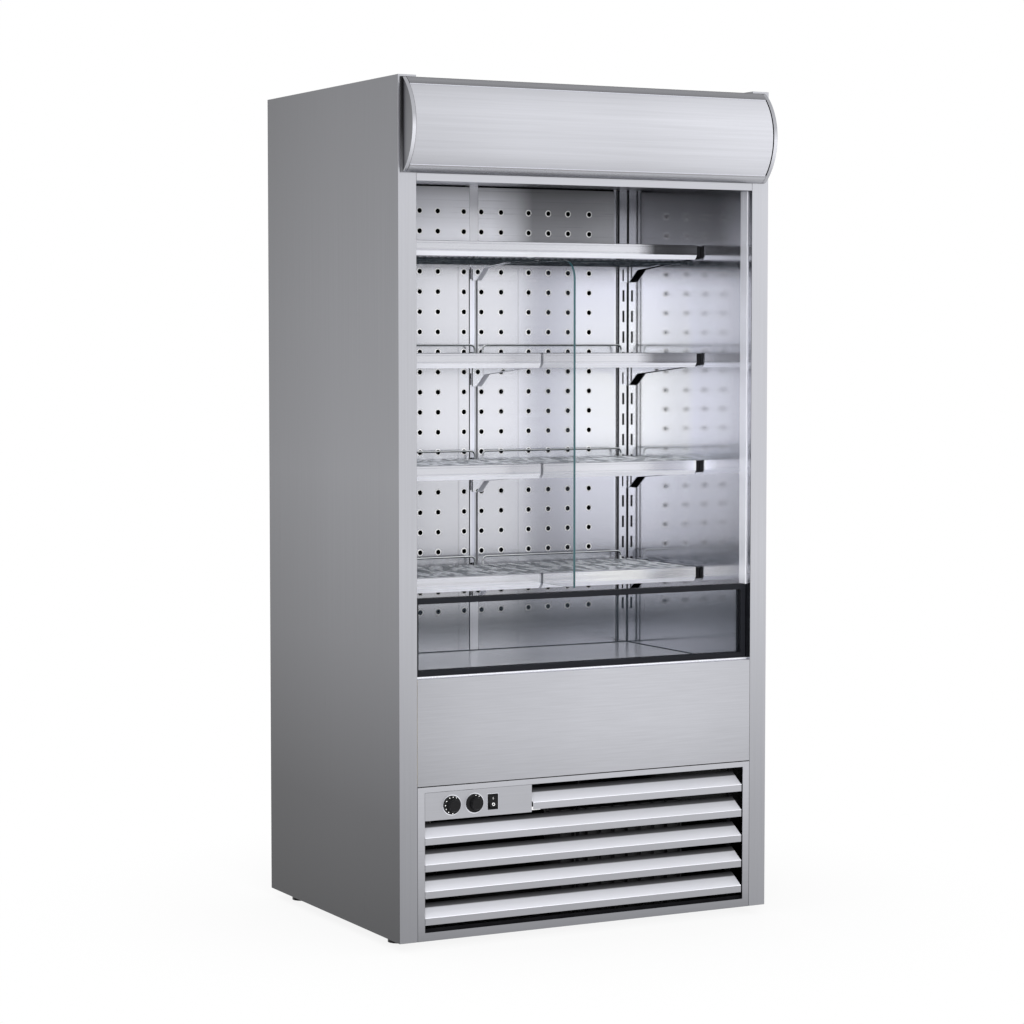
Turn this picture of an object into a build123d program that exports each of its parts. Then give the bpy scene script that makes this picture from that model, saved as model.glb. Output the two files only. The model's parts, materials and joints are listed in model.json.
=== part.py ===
from build123d import *
import math
import os

# An open multideck display fridge. Millimetres: X runs right, Y runs back, Z runs up.
# The origin is on the floor, under the middle of the fridge's outer box.

# Cabinet: foamed side walls, back, roof and well floor round an open front.
cabinet_width = 1000
cabinet_depth = 765
side_height = 2000
foot_height = 22
side_wall = 46
rear_wall = 60
roof_wall = 130
floor_wall = 50
front_wall = 46
header_wall = 24
outer_skin = 1.2
inner_skin = 1.0
roof_step = 5
panel_gap = 0.5
seat_gap = 0.3

# Levels of the front, from the lower edge of the side panels.
grille_height = 361
fascia_gap = 2
fascia_height = 250
deck_level = 600
duct_depth = 101
ceiling_rise = 12

# Canopy: a bowed lamp housing in front of the roof.
canopy_height = 217
canopy_bulge = 57
canopy_inset = 10
canopy_standoff = 4
canopy_sheet = 1.2
canopy_recess = 1.0
canopy_rail_arc = 24
canopy_rail_sheet = 4
canopy_cap_width = 10
canopy_plate_side_gap = 1

# Header rail, lamp and the honeycomb that the cold air falls through.
header_height = 18
header_sheet = 2
lamp_depth = 17
lamp_height = 13
lamp_margin = 24
lamp_round = 5
outlet_depth = 80
outlet_height = 24
outlet_drop = 12
outlet_columns = 10
outlet_rows = 2
outlet_rib = 6
ceiling_fold = 15

# Slotted uprights and perforated back panels.
upright_face = 25
upright_flange = 16
upright_depth = 25
upright_step = 4
upright_sheet = 1.5
centre_upright_width = 24
slot_width = 6.4
slot_height = 30
slots_per_shelf = 5
slots_below_last = 3
panel_fold = 15
panel_top_gap = 4
hole_size = 9
hole_first = 29
hole_pitch_across = 59
hole_side_margin = 40
hole_pitch_up = 153
hole_top_margin = 66

# Shelves: a folded front rail, a wire grid in two halves and plate brackets.
shelf_count = 4
top_shelf_drop = 155
lowest_shelf_rise = 27
shelf_front = 237
rail_lip = 16
rail_face = 25
rail_slant_out = 9
rail_slant_down = 11
rail_sheet = 1.5
wire = 4
cross_wire = 5
wire_sides = 4
grid_pitch = 18.5
grid_end_gap = 29
cross_rods = 4
cross_rod_inset = 9
fence_wire = 5
fence_height = 22
fence_bevel = 12
bracket_sheet = 2
bracket_wall_gap = 12
bracket_centre = 8
bracket_nose_drop = 31
bracket_mid_drop = 35
bracket_knee_drop = 55
bracket_heel_drop = 86
bracket_mid = 307
bracket_knee = 73
bracket_heel = 29
bracket_nose_gap = 1
hook_drop = 12
hook_height = 16
hook_reach = 5

# Glass between the two display halves, and the channel that holds its rear edge.
divider_glass = 6
divider_front = 72
divider_top_gap = 12
divider_bottom_gap = 4
divider_radius = 45
channel_sheet = 1.5
channel_depth = 16

# Front riser: a framed pane that stands on the ledge of the front wall.
base_trim_height = 4
base_trim_front = 14
riser_height = 181
riser_setback = 20
riser_depth = 25
riser_border = 13
riser_pane = 6
riser_groove = 5
jamb_front = 18
jamb_width = 30
jamb_sheet = 3

# Front fascia.
fascia_fold = 18

# Well under the deck: deck plates, return grille, evaporator and its fans.
deck_sheet = 1.5
deck_fold = 12
deck_seam = 1
ledge_width = 14
ledge_height = 12
return_width = 62
return_fold = 10
return_slot_width = 8
return_slot_length = 40
return_slot_pitch = 62
evaporator_front = 330
evaporator_depth = 200
evaporator_height = 140
evaporator_margin = 60
evaporator_fins = 10
fin_sheet = 3
coil_web = 30
well_plate_front = 250
well_plate_sheet = 2
well_fan_opening = 80
well_fan_radius = 75
well_fan_spread = 210

# Fans: hub, blades, shaft, and a motor on a strap behind the opening.
hub_radius = 22
hub_length = 24
fan_blades = 5
fan_blade_sheet = 2
fan_blade_angle = 28
fan_blade_sector = 40
fan_shaft_radius = 4
fan_shaft_length = 20
shaft_clearance = 0.08
motor_size = 56
motor_length = 38
motor_gap = 4
strap_width = 14
strap_sheet = 3
strap_margin = 8

# Machine compartment in the base.
tray_sheet = 2
tray_rim = 25
boss_size = 26
boss_height = 14
compressor_radius = 72
compressor_height = 180
compressor_shoulder = 22
compressor_shoulder_height = 34
compressor_side_gap = 129
compressor_depth_place = 520
compressor_plate = 190
compressor_plate_sheet = 3
grommet_radius = 9
grommet_height = 10
condenser_side_gap = 144
condenser_width = 340
condenser_height = 260
condenser_depth = 60
condenser_front = 84
condenser_fins = 10
condenser_fan_radius = 105
condenser_fan_clearance = 6
shroud_depth = 26
shroud_sheet = 2
drain_pan_side_gap = 104
drain_pan_width = 320
drain_pan_depth = 150
drain_pan_height = 45
drain_pan_wall = 2
drain_pan_back_gap = 40
vent_rows = 8
vent_columns = 2
vent_slot_width = 240
vent_slot_height = 9
vent_row_pitch = 24
vent_column_gap = 80

# Grille of the base: a frame, the stays behind it and slanted louvre blades.
frame_depth = 20
frame_sheet = 1.5
window_side = 19
window_bottom = 20
window_top = 13
stay_sheet = 3
stay_depth = 14
stay_inset = 8
louvre_count = 4
louvre_first = 53
louvre_pitch = 62.7
louvre_nose = 16.5
louvre_rise = 28
louvre_front = 2
louvre_back = 46.5
louvre_sheet = 1.2
louvre_side_gap = 2
short_louvre_gap = 5

# Controls: panel, two knobs with their switchgear, and a rocker switch.
panel_width = 281
panel_height = 66
panel_sheet = 1.5
panel_return = 30
first_knob = 70
knob_pitch = 59
switch_pitch = 48
knob_radius = 22
knob_skirt = 5
knob_grip_radius = 15
knob_grip_length = 14
knob_grip_bevel = 3
knob_gap = 0.5
knob_shaft_radius = 3
knob_shaft_length = 16
gear_size = 40
gear_depth = 26
switch_width = 27
switch_height = 37
switch_lip = 2
switch_rim = 3.2
switch_wall = 1.5
switch_body_depth = 22
rocker_gap = 0.5
rocker_swing_gap = 1.3
rocker_tilt = 9
rocker_pivot = 2
rocker_back = 4
rocker_back_taper = 5
rocker_pin_radius = 1.5

# Sides of the rounds, which are drawn flat-sided: slim bars with their bores, and wide rounds.
bar_sides = 12
round_sides = 20
hexagon_sides = 6

# Levelling feet.
foot_inset = 55
foot_front = 125
foot_rear = 70
foot_radius = 25
foot_rim = 7
foot_cone = 7
foot_neck_radius = 11
stud_radius = 5
stud_length = 22

# Planes and centres worked out from the sizes above.
half = cabinet_width / 2
inner = half - side_wall
front = (canopy_bulge - cabinet_depth) / 2
back = front + cabinet_depth
skin_front = front + outer_skin
skin_back = back - outer_skin
low = foot_height
top = low + side_height
roof_top = top - roof_step
canopy_low = roof_top - canopy_height
header_low = canopy_low - header_height
well_low = low + grille_height + fascia_gap
fascia_top = well_low + fascia_height
ledge_under = fascia_top - outer_skin
well_floor = well_low + floor_wall
deck = low + deck_level
deck_under = deck - deck_sheet
core_front = front + front_wall
core_back = back - rear_wall
panel_face = core_back - duct_depth
duct_top = roof_top - roof_wall
ceiling = canopy_low + ceiling_rise
header_back = front + header_wall
outlet_front = header_back + inner_skin
outlet_back = outlet_front + outlet_depth
return_front = core_front + inner_skin
deck_front = return_front + return_width
tray_front = front + frame_depth
riser_low = fascia_top + base_trim_height
riser_top = riser_low + riser_height
top_shelf = ceiling - top_shelf_drop
shelf_pitch = (top_shelf - riser_top - lowest_shelf_rise) / (shelf_count - 1)
shelf_levels = [top_shelf - shelf_pitch * i for i in range(shelf_count)]
rail_front = front + shelf_front
bracket_side = inner - bracket_wall_gap
bracket_top = wire + cross_wire
grid_front = rail_front + rail_lip + panel_gap
grid_back = panel_face - grid_end_gap
slot_pitch = shelf_pitch / slots_per_shelf
window_half = inner - window_side
window_high = low + grille_height - window_top
panel_left = -window_half
panel_right = panel_left + panel_width
control_level = window_high - panel_height / 2
knob_places = [panel_left + first_knob, panel_left + first_knob + knob_pitch]
switch_x = knob_places[-1] + switch_pitch
foot_places = [
    (side * (half - foot_inset), y) for y in (front + foot_front, back - foot_rear) for side in (-1, 1)
]
across = (-inner, inner)
across_clear = (panel_gap - inner, inner - panel_gap)
return_slots = int((across_clear[1] - across_clear[0] - return_slot_width) / return_slot_pitch)
compressor_x = compressor_side_gap + compressor_plate / 2 - inner
condenser_x = inner - condenser_side_gap - condenser_width / 2
drain_pan_x = inner - drain_pan_side_gap - drain_pan_width / 2


def slab(x, y, z):
    """A box from its low and high X, Y and Z."""
    size = [high - start for start, high in (x, y, z)]
    return Pos(sum(x) / 2, sum(y) / 2, sum(z) / 2) * Box(*size)


def group(solids):
    """Several separate solids in one node."""
    return Compound([part for solid in solids for part in solid.solids()])


def both_sides(solid):
    """The solid and its mirror image across the middle of the fridge."""
    return [solid, mirror(solid, Plane.YZ)]


def along_x(section, x):
    """A section in Y and Z, drawn out between two X planes."""
    return extrude(Plane.YZ.offset(x[0]) * section, amount=x[1] - x[0])


def along_y(section, y):
    """A section in X and Z, drawn out between two Y planes."""
    return extrude(Plane.XZ.offset(-y[1]) * section, amount=y[1] - y[0])


def along_z(section, z):
    """A section in X and Y, drawn out between two levels."""
    return extrude(Plane.XY.offset(z[0]) * section, amount=z[1] - z[0])


def outline(*points):
    """A flat face inside straight edges."""
    return make_face(Polyline(*points, close=True))


def folded(thickness, *points):
    """The section of a folded sheet, which lies on the left of its bend line."""
    line = Polyline(*points)
    return make_face(offset(line, thickness, side=Side.LEFT, kind=Kind.INTERSECTION, closed=True))


def ring_stretch(centre, outer, inside, start, sweep):
    """Part of a ring between two radii, with its start and sweep in degrees."""
    rim = CenterArc(centre, outer, start, sweep)
    root = CenterArc(centre, inside, start, sweep)
    return make_face([rim, root, Line(rim @ 0, root @ 0), Line(rim @ 1, root @ 1)])


def window(u, v, width, height):
    """The corners of a straight-sided window round a centre."""
    a, b = width / 2, height / 2
    return [(u - a, v - b), (u + a, v - b), (u + a, v + b), (u - a, v + b)]


def diamond(u, v, size):
    """The corners of a small four-sided hole."""
    r = size / 2
    return [(u, v - r), (u + r, v), (u, v + r), (u - r, v)]


def pierced(u, v, windows):
    """A flat face between two low and high pairs, with windows cut in it."""
    middle = (sum(u) / 2, sum(v) / 2)
    rim = window(*middle, u[1] - u[0], v[1] - v[0])
    wires = [Wire.make_polygon([(a, b, 0) for a, b in points]) for points in [rim, *windows]]
    return Face(wires[0], wires[1:])


def round_section(radius, sides, bored=False):
    """A flat-sided round: a bar's lies inside its circle, and a bore's lies round it."""
    return RegularPolygon(radius, sides, major_radius=not bored)


def along_back(x, y, z, section, length):
    """A section round a point, drawn out backwards along Y."""
    return along_y(Pos(x, z) * section, (y, y + length))


def rod(start, length, size, direction):
    """A straight wire with flat sides, from its start point along X or Y."""
    plane = Plane(start, x_dir=direction.cross(Vector(0, 0, 1)), z_dir=direction)
    return extrude(plane * wire_section(size), amount=length)


def wire_section(size):
    """A wire's flat-sided section, with a flat on top."""
    return RegularPolygon(size / 2, wire_sides, major_radius=False, rotation=90 - 180 / wire_sides)


# Cabinet shell


def side_skin(side):
    """The outer pan of a side wall: one sheet with its four edges folded inwards."""
    pan = slab((inner, half), (front, back), (low, top))
    pan -= slab((inner, half - outer_skin), (skin_front, skin_back), (low + outer_skin, top - outer_skin))
    return pan if side > 0 else mirror(pan, Plane.YZ)


def side_liners():
    """The inner sheets of the side walls, and on each the bar that carries a deck plate."""
    sheet = slab((inner, inner + inner_skin), (skin_front, skin_back), (low + outer_skin, top - outer_skin))
    ledge = slab(
        (inner - ledge_width, inner),
        (deck_front + deck_sheet + panel_gap, panel_face - deck_sheet - panel_gap),
        (deck_under - ledge_height, deck_under),
    )
    return group(both_sides(sheet) + both_sides(ledge))


def insulation():
    """Foam slabs: sides, back, roof, well floor, front wall and the block over the header."""
    heights = (low + outer_skin, top - outer_skin)
    side = slab((inner + inner_skin, half - outer_skin), (skin_front, skin_back), heights)
    slabs = [
        slab(across, (core_back, skin_back), (well_low, duct_top)),
        slab(across, (skin_front, skin_back), (duct_top, roof_top - outer_skin)),
        slab(across, (core_front, core_back), (well_low, well_floor)),
        slab(across, (skin_front, core_front), (well_low + outer_skin, ledge_under)),
        slab(across, (skin_front, header_back), (canopy_low, duct_top)),
    ]
    return group(both_sides(side) + slabs)


def inner_liner():
    """The sheet that lines the well and the back, and the one under the roof foam."""
    tub = folded(
        inner_skin,
        (core_front, ledge_under),
        (core_front, well_floor),
        (core_back, well_floor),
        (core_back, duct_top),
    )
    lid = folded(
        inner_skin,
        (core_back - inner_skin, duct_top),
        (header_back, duct_top),
        (header_back, canopy_low),
    )
    return group([along_x(tub, across), along_x(lid, across)])


def rear_skin():
    return slab(across, (skin_back, back), (well_low, roof_top - outer_skin))


def rear_vent_cover():
    """The cover at the back of the machine compartment, with rows of slots."""
    middle = (low + well_low) / 2
    column_pitch = vent_slot_width + vent_column_gap
    places = [
        ((i - (vent_columns - 1) / 2) * column_pitch, middle + (j - (vent_rows - 1) / 2) * vent_row_pitch)
        for i in range(vent_columns)
        for j in range(vent_rows)
    ]
    windows = [window(x, z, vent_slot_width, vent_slot_height) for x, z in places]
    return along_y(pierced(across, (low, well_low), windows), (skin_back, back))


def roof_skin():
    """The roof sheet, folded down over the front of the roof foam."""
    section = folded(outer_skin, (back, roof_top), (front, roof_top), (front, canopy_low))
    return along_x(section, across)


def base_tray():
    """The floor of the machine compartment, with upturned rims and a boss over each foot."""
    section = folded(
        tray_sheet,
        (tray_front, low + tray_rim),
        (tray_front, low),
        (skin_back, low),
        (skin_back, low + tray_rim),
    )
    tray = along_x(section, across)
    for x, y in foot_places:
        side = math.copysign(1, x)
        edges = sorted((side * (inner - boss_size), side * inner))
        tray += slab(edges, (y - boss_size / 2, y + boss_size / 2), (low, low + boss_height))
    bore = round_section(stud_radius + shaft_clearance, bar_sides, bored=True)
    for x, y in foot_places:
        tray -= along_z(Pos(x, y) * bore, (low, low + boss_height))
    return tray


# Display space: ceiling, back panels, uprights and deck


def ceiling_panel():
    """The sheet over the display space, with its front and rear edges turned up."""
    section = folded(
        inner_skin,
        (outlet_back, ceiling + ceiling_fold),
        (outlet_back, ceiling),
        (panel_face, ceiling),
        (panel_face, ceiling + ceiling_fold),
    )
    return along_x(section, across_clear)


def air_outlet():
    """The honeycomb that lets the cold air curtain down behind the header rail."""
    width = across_clear[1] - across_clear[0]
    pitch = (width - outlet_rib) / outlet_columns
    row_pitch = (outlet_depth - outlet_rib) / outlet_rows
    cells = [
        window(
            across_clear[0] + outlet_rib / 2 + pitch * (i + 1 / 2),
            outlet_front + outlet_rib / 2 + row_pitch * (j + 1 / 2),
            pitch - outlet_rib,
            row_pitch - outlet_rib,
        )
        for i in range(outlet_columns)
        for j in range(outlet_rows)
    ]
    bottom = ceiling - outlet_drop
    face = pierced(across_clear, (outlet_front, outlet_back), cells)
    return along_z(face, (bottom, bottom + outlet_height))


def slot_levels():
    """The low edges of the upright slots: the top shelf's upper hook sits in the first."""
    first = shelf_levels[0] - hook_drop - hook_height - seat_gap
    count = (shelf_count - 1) * slots_per_shelf + slots_below_last
    return [first - slot_pitch * i for i in range(count)]


def uprights():
    """Folded strips with slots for the shelf hooks: one at each side and one in the middle."""
    face = inner - upright_face
    step = panel_face + upright_step
    section = folded(
        upright_sheet,
        (face - upright_flange, step),
        (face, step),
        (face, panel_face),
        (inner, panel_face),
        (inner, panel_face + upright_depth),
    )
    side = along_z(section, (deck, ceiling))
    column = bracket_side - bracket_sheet / 2
    edge = centre_upright_width / 2
    section = folded(
        upright_sheet,
        (-edge, panel_face + upright_depth),
        (-edge, panel_face),
        (edge, panel_face),
        (edge, panel_face + upright_depth),
    )
    centre = along_z(section, (deck, ceiling))
    sheet = (panel_face, panel_face + upright_sheet)
    for i, level in enumerate(slot_levels()):
        heights = (level, level + slot_height)
        side -= slab((column - slot_width / 2, column + slot_width / 2), sheet, heights)
        if i % slots_per_shelf in (0, 1):
            for x in (-bracket_centre, bracket_centre):
                centre -= slab((x - slot_width / 2, x + slot_width / 2), sheet, heights)
    return group([*both_sides(side), centre])


def back_panels():
    """Two perforated sheets that spread the cold air, with folded side edges."""
    left = centre_upright_width / 2 + panel_gap
    right = inner - upright_face - upright_flange - panel_gap
    heights = (deck + panel_gap, ceiling - panel_top_gap)
    columns = int((right - hole_side_margin - hole_first) / hole_pitch_across) + 1
    top_hole = ceiling - hole_top_margin
    rows = int((top_hole - deck - hole_size) / hole_pitch_up) + 1
    holes = [
        diamond(hole_first + hole_pitch_across * i, top_hole - hole_pitch_up * j, hole_size)
        for i in range(columns)
        for j in range(rows)
    ]
    face = pierced((left, right), heights, holes)
    panel = along_y(face, (panel_face, panel_face + inner_skin))
    depths = (panel_face + inner_skin, panel_face + panel_fold)
    for x in ((left, left + inner_skin), (right - inner_skin, right)):
        panel += slab(x, depths, heights)
    return group(both_sides(panel))


def deck_plates():
    """Two plates over the well, with their front and rear edges folded down."""
    section = folded(
        deck_sheet,
        (panel_face, deck - deck_fold),
        (panel_face, deck),
        (deck_front, deck),
        (deck_front, deck - deck_fold),
    )
    return group(both_sides(along_x(section, (deck_seam / 2, inner - panel_gap))))


def return_grille():
    """The slotted strip in front of the deck, which takes the air back to the well."""
    slots = [
        window(
            (i - (return_slots - 1) / 2) * return_slot_pitch,
            (return_front + deck_front) / 2,
            return_slot_width,
            return_slot_length,
        )
        for i in range(return_slots)
    ]
    grille = along_z(pierced(across_clear, (return_front, deck_front), slots), (deck_under, deck))
    heights = (deck - return_fold, deck_under)
    grille += slab(across_clear, (return_front, return_front + deck_sheet), heights)
    return grille + slab(across_clear, (deck_front - deck_sheet, deck_front), heights)


# Canopy and header

canopy_half = half - canopy_inset
canopy_chord = front - canopy_standoff
canopy_sagitta = canopy_bulge - canopy_standoff
canopy_radius = ((canopy_height / 2) ** 2 + canopy_sagitta**2) / (2 * canopy_sagitta)
canopy_centre = (canopy_chord - canopy_sagitta + canopy_radius, canopy_low + canopy_height / 2)
canopy_spread = math.degrees(math.asin(canopy_height / 2 / canopy_radius))
canopy_rail_angle = math.degrees(canopy_rail_arc / canopy_radius)
canopy_between = (canopy_cap_width - canopy_half, canopy_half - canopy_cap_width)
toward_front = math.degrees(math.pi)


def canopy_panel():
    """The bowed sheet between the canopy's two rails."""
    radius = canopy_radius - canopy_recess
    start = toward_front - canopy_spread + canopy_rail_angle
    sweep = 2 * (canopy_spread - canopy_rail_angle)
    section = ring_stretch(canopy_centre, radius, radius - canopy_sheet, start, sweep)
    return along_x(section, canopy_between)


def canopy_rails():
    """The two strips that hold the upper and lower edges of the bowed sheet."""
    inside = canopy_radius - canopy_rail_sheet
    in_front = slab(canopy_between, (front - canopy_bulge, canopy_chord), (canopy_low, roof_top))
    rails = []
    for start in (toward_front - canopy_spread, toward_front + canopy_spread - canopy_rail_angle):
        section = ring_stretch(canopy_centre, canopy_radius, inside, start, canopy_rail_angle)
        rails.append(along_x(section, canopy_between) & in_front)
    return group(rails)


def canopy_caps():
    """The end plates of the canopy."""
    rim = CenterArc(canopy_centre, canopy_radius, toward_front - canopy_spread, 2 * canopy_spread)
    section = make_face([rim, Line(rim @ 1, rim @ 0)])
    return group(both_sides(along_x(section, (canopy_half - canopy_cap_width, canopy_half))))


def canopy_back_plate():
    """The plate that carries the canopy on the posts and the front of the roof."""
    reach = half - canopy_plate_side_gap
    return slab((-reach, reach), (canopy_chord, front), (canopy_low, roof_top))


def header_rail():
    """The angle along the top of the opening."""
    section = folded(header_sheet, (header_back, canopy_low), (front, canopy_low), (front, header_low))
    return along_x(section, across_clear)


def lamp():
    """The batten lamp under the header's flange, behind its face."""
    near = front + header_sheet
    high = canopy_low - header_sheet
    far, bottom = near + lamp_depth, high - lamp_height
    section = outline((near, high), (far, high), (far, bottom), (near, bottom))
    section = fillet(section.vertices().sort_by(Axis.Y)[:2], lamp_round)
    return along_x(section, (lamp_margin - inner, inner - lamp_margin))


# Shelves


def shelf_rail(index):
    """A front rail: a lip over the grid, an upright face and a lower lip slanted back."""
    level = shelf_levels[index]
    section = folded(
        rail_sheet,
        (rail_front + rail_lip, level),
        (rail_front, level),
        (rail_front, level - rail_face),
        (rail_front + rail_slant_out, level - rail_face - rail_slant_down),
    )
    if index == 0:
        return along_x(section, (-bracket_side, bracket_side))
    return group(both_sides(along_x(section, (divider_glass / 2 + panel_gap, bracket_side))))


def fence(first_x, last_x, level):
    """The bent wire along the rear edge of a grid."""
    y = grid_back + fence_wire / 2
    high = level + fence_height - fence_wire / 2
    start = level - bracket_top
    points = [
        (first_x, start),
        (first_x, high - fence_bevel),
        (first_x + fence_bevel, high),
        (last_x - fence_bevel, high),
        (last_x, high - fence_bevel),
        (last_x, start),
    ]
    path = Polyline(*[(x, y, z) for x, z in points])
    plane = Plane((first_x, y, start), x_dir=(1, 0, 0), z_dir=(0, 0, 1))
    return sweep(plane * wire_section(fence_wire), path=path, transition=Transition.RIGHT)


def shelf_grid(index):
    """A wire grid in two halves: rods from front to back on cross rods, and a rear fence."""
    level = shelf_levels[index]
    first_x = bracket_centre + bracket_sheet / 2 + wire / 2 + panel_gap
    last_x = bracket_side - bracket_sheet - wire / 2 - panel_gap
    steps = round((last_x - first_x) / grid_pitch)
    places = [first_x + (last_x - first_x) * i / steps for i in range(steps + 1)]
    back_way, right_way = Vector(0, 1, 0), Vector(1, 0, 0)
    wires = [rod((x, grid_front, level - wire / 2), grid_back - grid_front, wire, back_way) for x in places]
    start = bracket_centre - bracket_sheet / 2
    for i in range(cross_rods):
        share = i / (cross_rods - 1)
        y = grid_front + cross_rod_inset + (grid_back - grid_front - 2 * cross_rod_inset) * share
        z = level - wire - cross_wire / 2
        wires.append(rod((start, y, z), bracket_side - start, cross_wire, right_way))
    wires.append(fence(places[0], places[-2], level))
    return group([solid for each in wires for solid in both_sides(each)])


def shelf_brackets(index):
    """Four plate brackets with hooks, which carry the two halves of a shelf."""
    level = shelf_levels[index]
    nose = rail_front + rail_slant_out + bracket_nose_gap
    crest = level - bracket_top
    lip_end = rail_front + rail_lip
    plate = outline(
        (nose, level - rail_sheet),
        (lip_end, level - rail_sheet),
        (lip_end, crest),
        (panel_face, crest),
        (panel_face, level - bracket_heel_drop),
        (panel_face - bracket_heel, level - bracket_heel_drop),
        (panel_face - bracket_knee, level - bracket_knee_drop),
        (panel_face - bracket_mid, level - bracket_mid_drop),
        (nose, level - bracket_nose_drop),
    )
    side = along_x(plate, (bracket_side - bracket_sheet, bracket_side))
    for i in range(2):
        high = level - hook_drop - slot_pitch * i
        side += slab(
            (bracket_side - bracket_sheet, bracket_side),
            (panel_face - panel_gap, panel_face + hook_reach),
            (high - hook_height, high),
        )
    shift = bracket_side - bracket_sheet / 2 - bracket_centre
    return group([*both_sides(side), *both_sides(Pos(-shift, 0, 0) * side)])


# Glass divider and riser

divider_top = shelf_levels[0] - rail_face - rail_slant_down - divider_top_gap
divider_low = riser_top + divider_bottom_gap


def glass_divider():
    """The upright pane between the two display halves, with its top front corner rounded."""
    near, far = front + divider_front, panel_face - channel_sheet
    pane = outline((near, divider_low), (far, divider_low), (far, divider_top), (near, divider_top))
    corner = pane.vertices().sort_by(Axis.X)[:2].sort_by(Axis.Y)[-1]
    return along_x(fillet(corner, divider_radius), (-divider_glass / 2, divider_glass / 2))


def divider_channel():
    """The channel on the middle upright that holds the rear edge of the pane."""
    edge = divider_glass / 2 + seat_gap + channel_sheet
    near = panel_face - channel_depth
    section = folded(channel_sheet, (edge, near), (edge, panel_face), (-edge, panel_face), (-edge, near))
    return along_z(section, (divider_low, divider_top))


def riser_frame():
    """The dark frame round the riser's pane, with a groove for it."""
    depths = (front + riser_setback, front + riser_setback + riser_depth)
    frame = slab(across_clear, depths, (riser_low, riser_top))
    gap = riser_border
    frame -= slab((across_clear[0] + gap, across_clear[1] - gap), depths, (riser_low + gap, riser_top - gap))
    return frame - riser_glass()


def riser_glass():
    middle = front + riser_setback + riser_depth / 2
    gap = riser_border - riser_groove
    return slab(
        (across_clear[0] + gap, across_clear[1] - gap),
        (middle - riser_pane / 2, middle + riser_pane / 2),
        (riser_low + gap, riser_top - gap),
    )


def opening_trims():
    """Strips round the opening: one up each side wall, and one under the riser."""
    depths = (front + jamb_front, front + jamb_front + jamb_width)
    jamb = slab((inner - jamb_sheet, inner), depths, (riser_top, header_low))
    base = slab(across_clear, (front + base_trim_front, core_front), (fascia_top, riser_low))
    return group([*both_sides(jamb), base])


def front_fascia():
    """The front panel: its top is folded back into a ledge and its foot is folded in."""
    section = folded(
        outer_skin,
        (core_front + inner_skin, fascia_top),
        (front, fascia_top),
        (front, well_low),
        (front + fascia_fold, well_low),
    )
    return along_x(section, across_clear)


# Grille of the base


def grille_frame():
    """A frame with a large window, its outer edges folded back."""
    outer = (low, low + grille_height)
    frame = slab(across_clear, (front, tray_front), outer)
    frame -= slab(
        (across_clear[0] + frame_sheet, across_clear[1] - frame_sheet),
        (front + frame_sheet, tray_front),
        (outer[0] + frame_sheet, outer[1] - frame_sheet),
    )
    heights = (low + window_bottom, window_high)
    return frame - slab((-window_half, window_half), (front, tray_front), heights)


def louvre_stays():
    """Upright strips behind the blades, from the tray to the well."""
    near = front + louvre_back + louvre_sheet
    depths, heights = (near, near + stay_depth), (low + tray_sheet, well_low)
    place = window_half - stay_inset
    return group(
        slab((x - stay_sheet / 2, x + stay_sheet / 2), depths, heights) for x in (-place, 0, place)
    )


def louvre_blades():
    """Slanted blades with a folded nose; the top one is short, beside the controls."""
    ends = (louvre_side_gap - window_half, window_half - louvre_side_gap)
    blades = []
    for i in range(louvre_count + 1):
        level = low + louvre_first + louvre_pitch * i
        section = folded(
            louvre_sheet,
            (front + louvre_back, level + louvre_rise),
            (front + louvre_front, level),
            (front + louvre_front, level - louvre_nose),
        )
        start = ends[0] if i < louvre_count else panel_right + short_louvre_gap
        blades.append(along_x(section, (start, ends[1])))
    return group(blades)


# Controls

knob_bore = round_section(knob_shaft_radius + shaft_clearance, bar_sides, bored=True)


def control_panel():
    """A shallow box in the corner of the grille's window, open at the back."""
    x = (panel_left + seat_gap, panel_right)
    z = (window_high - panel_height, window_high - seat_gap)
    panel = slab(x, (front, front + panel_return), z)
    panel -= slab(
        (x[0] + panel_sheet, x[1] - panel_sheet),
        (front + panel_sheet, front + panel_return),
        (z[0] + panel_sheet, z[1] - panel_sheet),
    )
    for place in knob_places:
        panel -= along_back(place, front, control_level, knob_bore, panel_sheet)
    body = (switch_width / 2 - switch_rim + switch_wall, switch_height / 2 - switch_rim + switch_wall)
    cut = [size + seat_gap for size in body]
    return panel - slab(
        (switch_x - cut[0], switch_x + cut[0]),
        (front, front + panel_sheet),
        (control_level - cut[1], control_level + cut[1]),
    )


def knob(place):
    """A knob on its shaft: a flat skirt and a rounded grip with a ridge."""
    skirt_back = front - knob_gap
    skirt_front = skirt_back - knob_skirt
    grip_front = skirt_front - knob_grip_length
    stretches = [
        (grip_front, knob_grip_radius, round_sides, knob_grip_length),
        (skirt_front, knob_radius, round_sides, knob_skirt),
        (skirt_back, knob_shaft_radius, bar_sides, knob_shaft_length + knob_gap),
    ]
    grip, skirt, shaft = [
        along_back(place, y, control_level, round_section(radius, sides), length)
        for y, radius, sides, length in stretches
    ]
    return chamfer(grip.faces().sort_by(Axis.Y)[0].edges(), knob_grip_bevel) + skirt + shaft


def control_bodies():
    """The thermostat and the defrost timer behind the panel, each bored for its shaft."""
    bodies = []
    for place in knob_places:
        body = slab(
            (place - gear_size / 2, place + gear_size / 2),
            (front + panel_sheet, front + panel_sheet + gear_depth),
            (control_level - gear_size / 2, control_level + gear_size / 2),
        )
        bore = knob_shaft_length - panel_sheet + seat_gap
        bodies.append(body - along_back(place, front + panel_sheet, control_level, knob_bore, bore))
    return bodies


rocker_mouth = (switch_width / 2 - switch_rim, switch_height / 2 - switch_rim)


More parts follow.
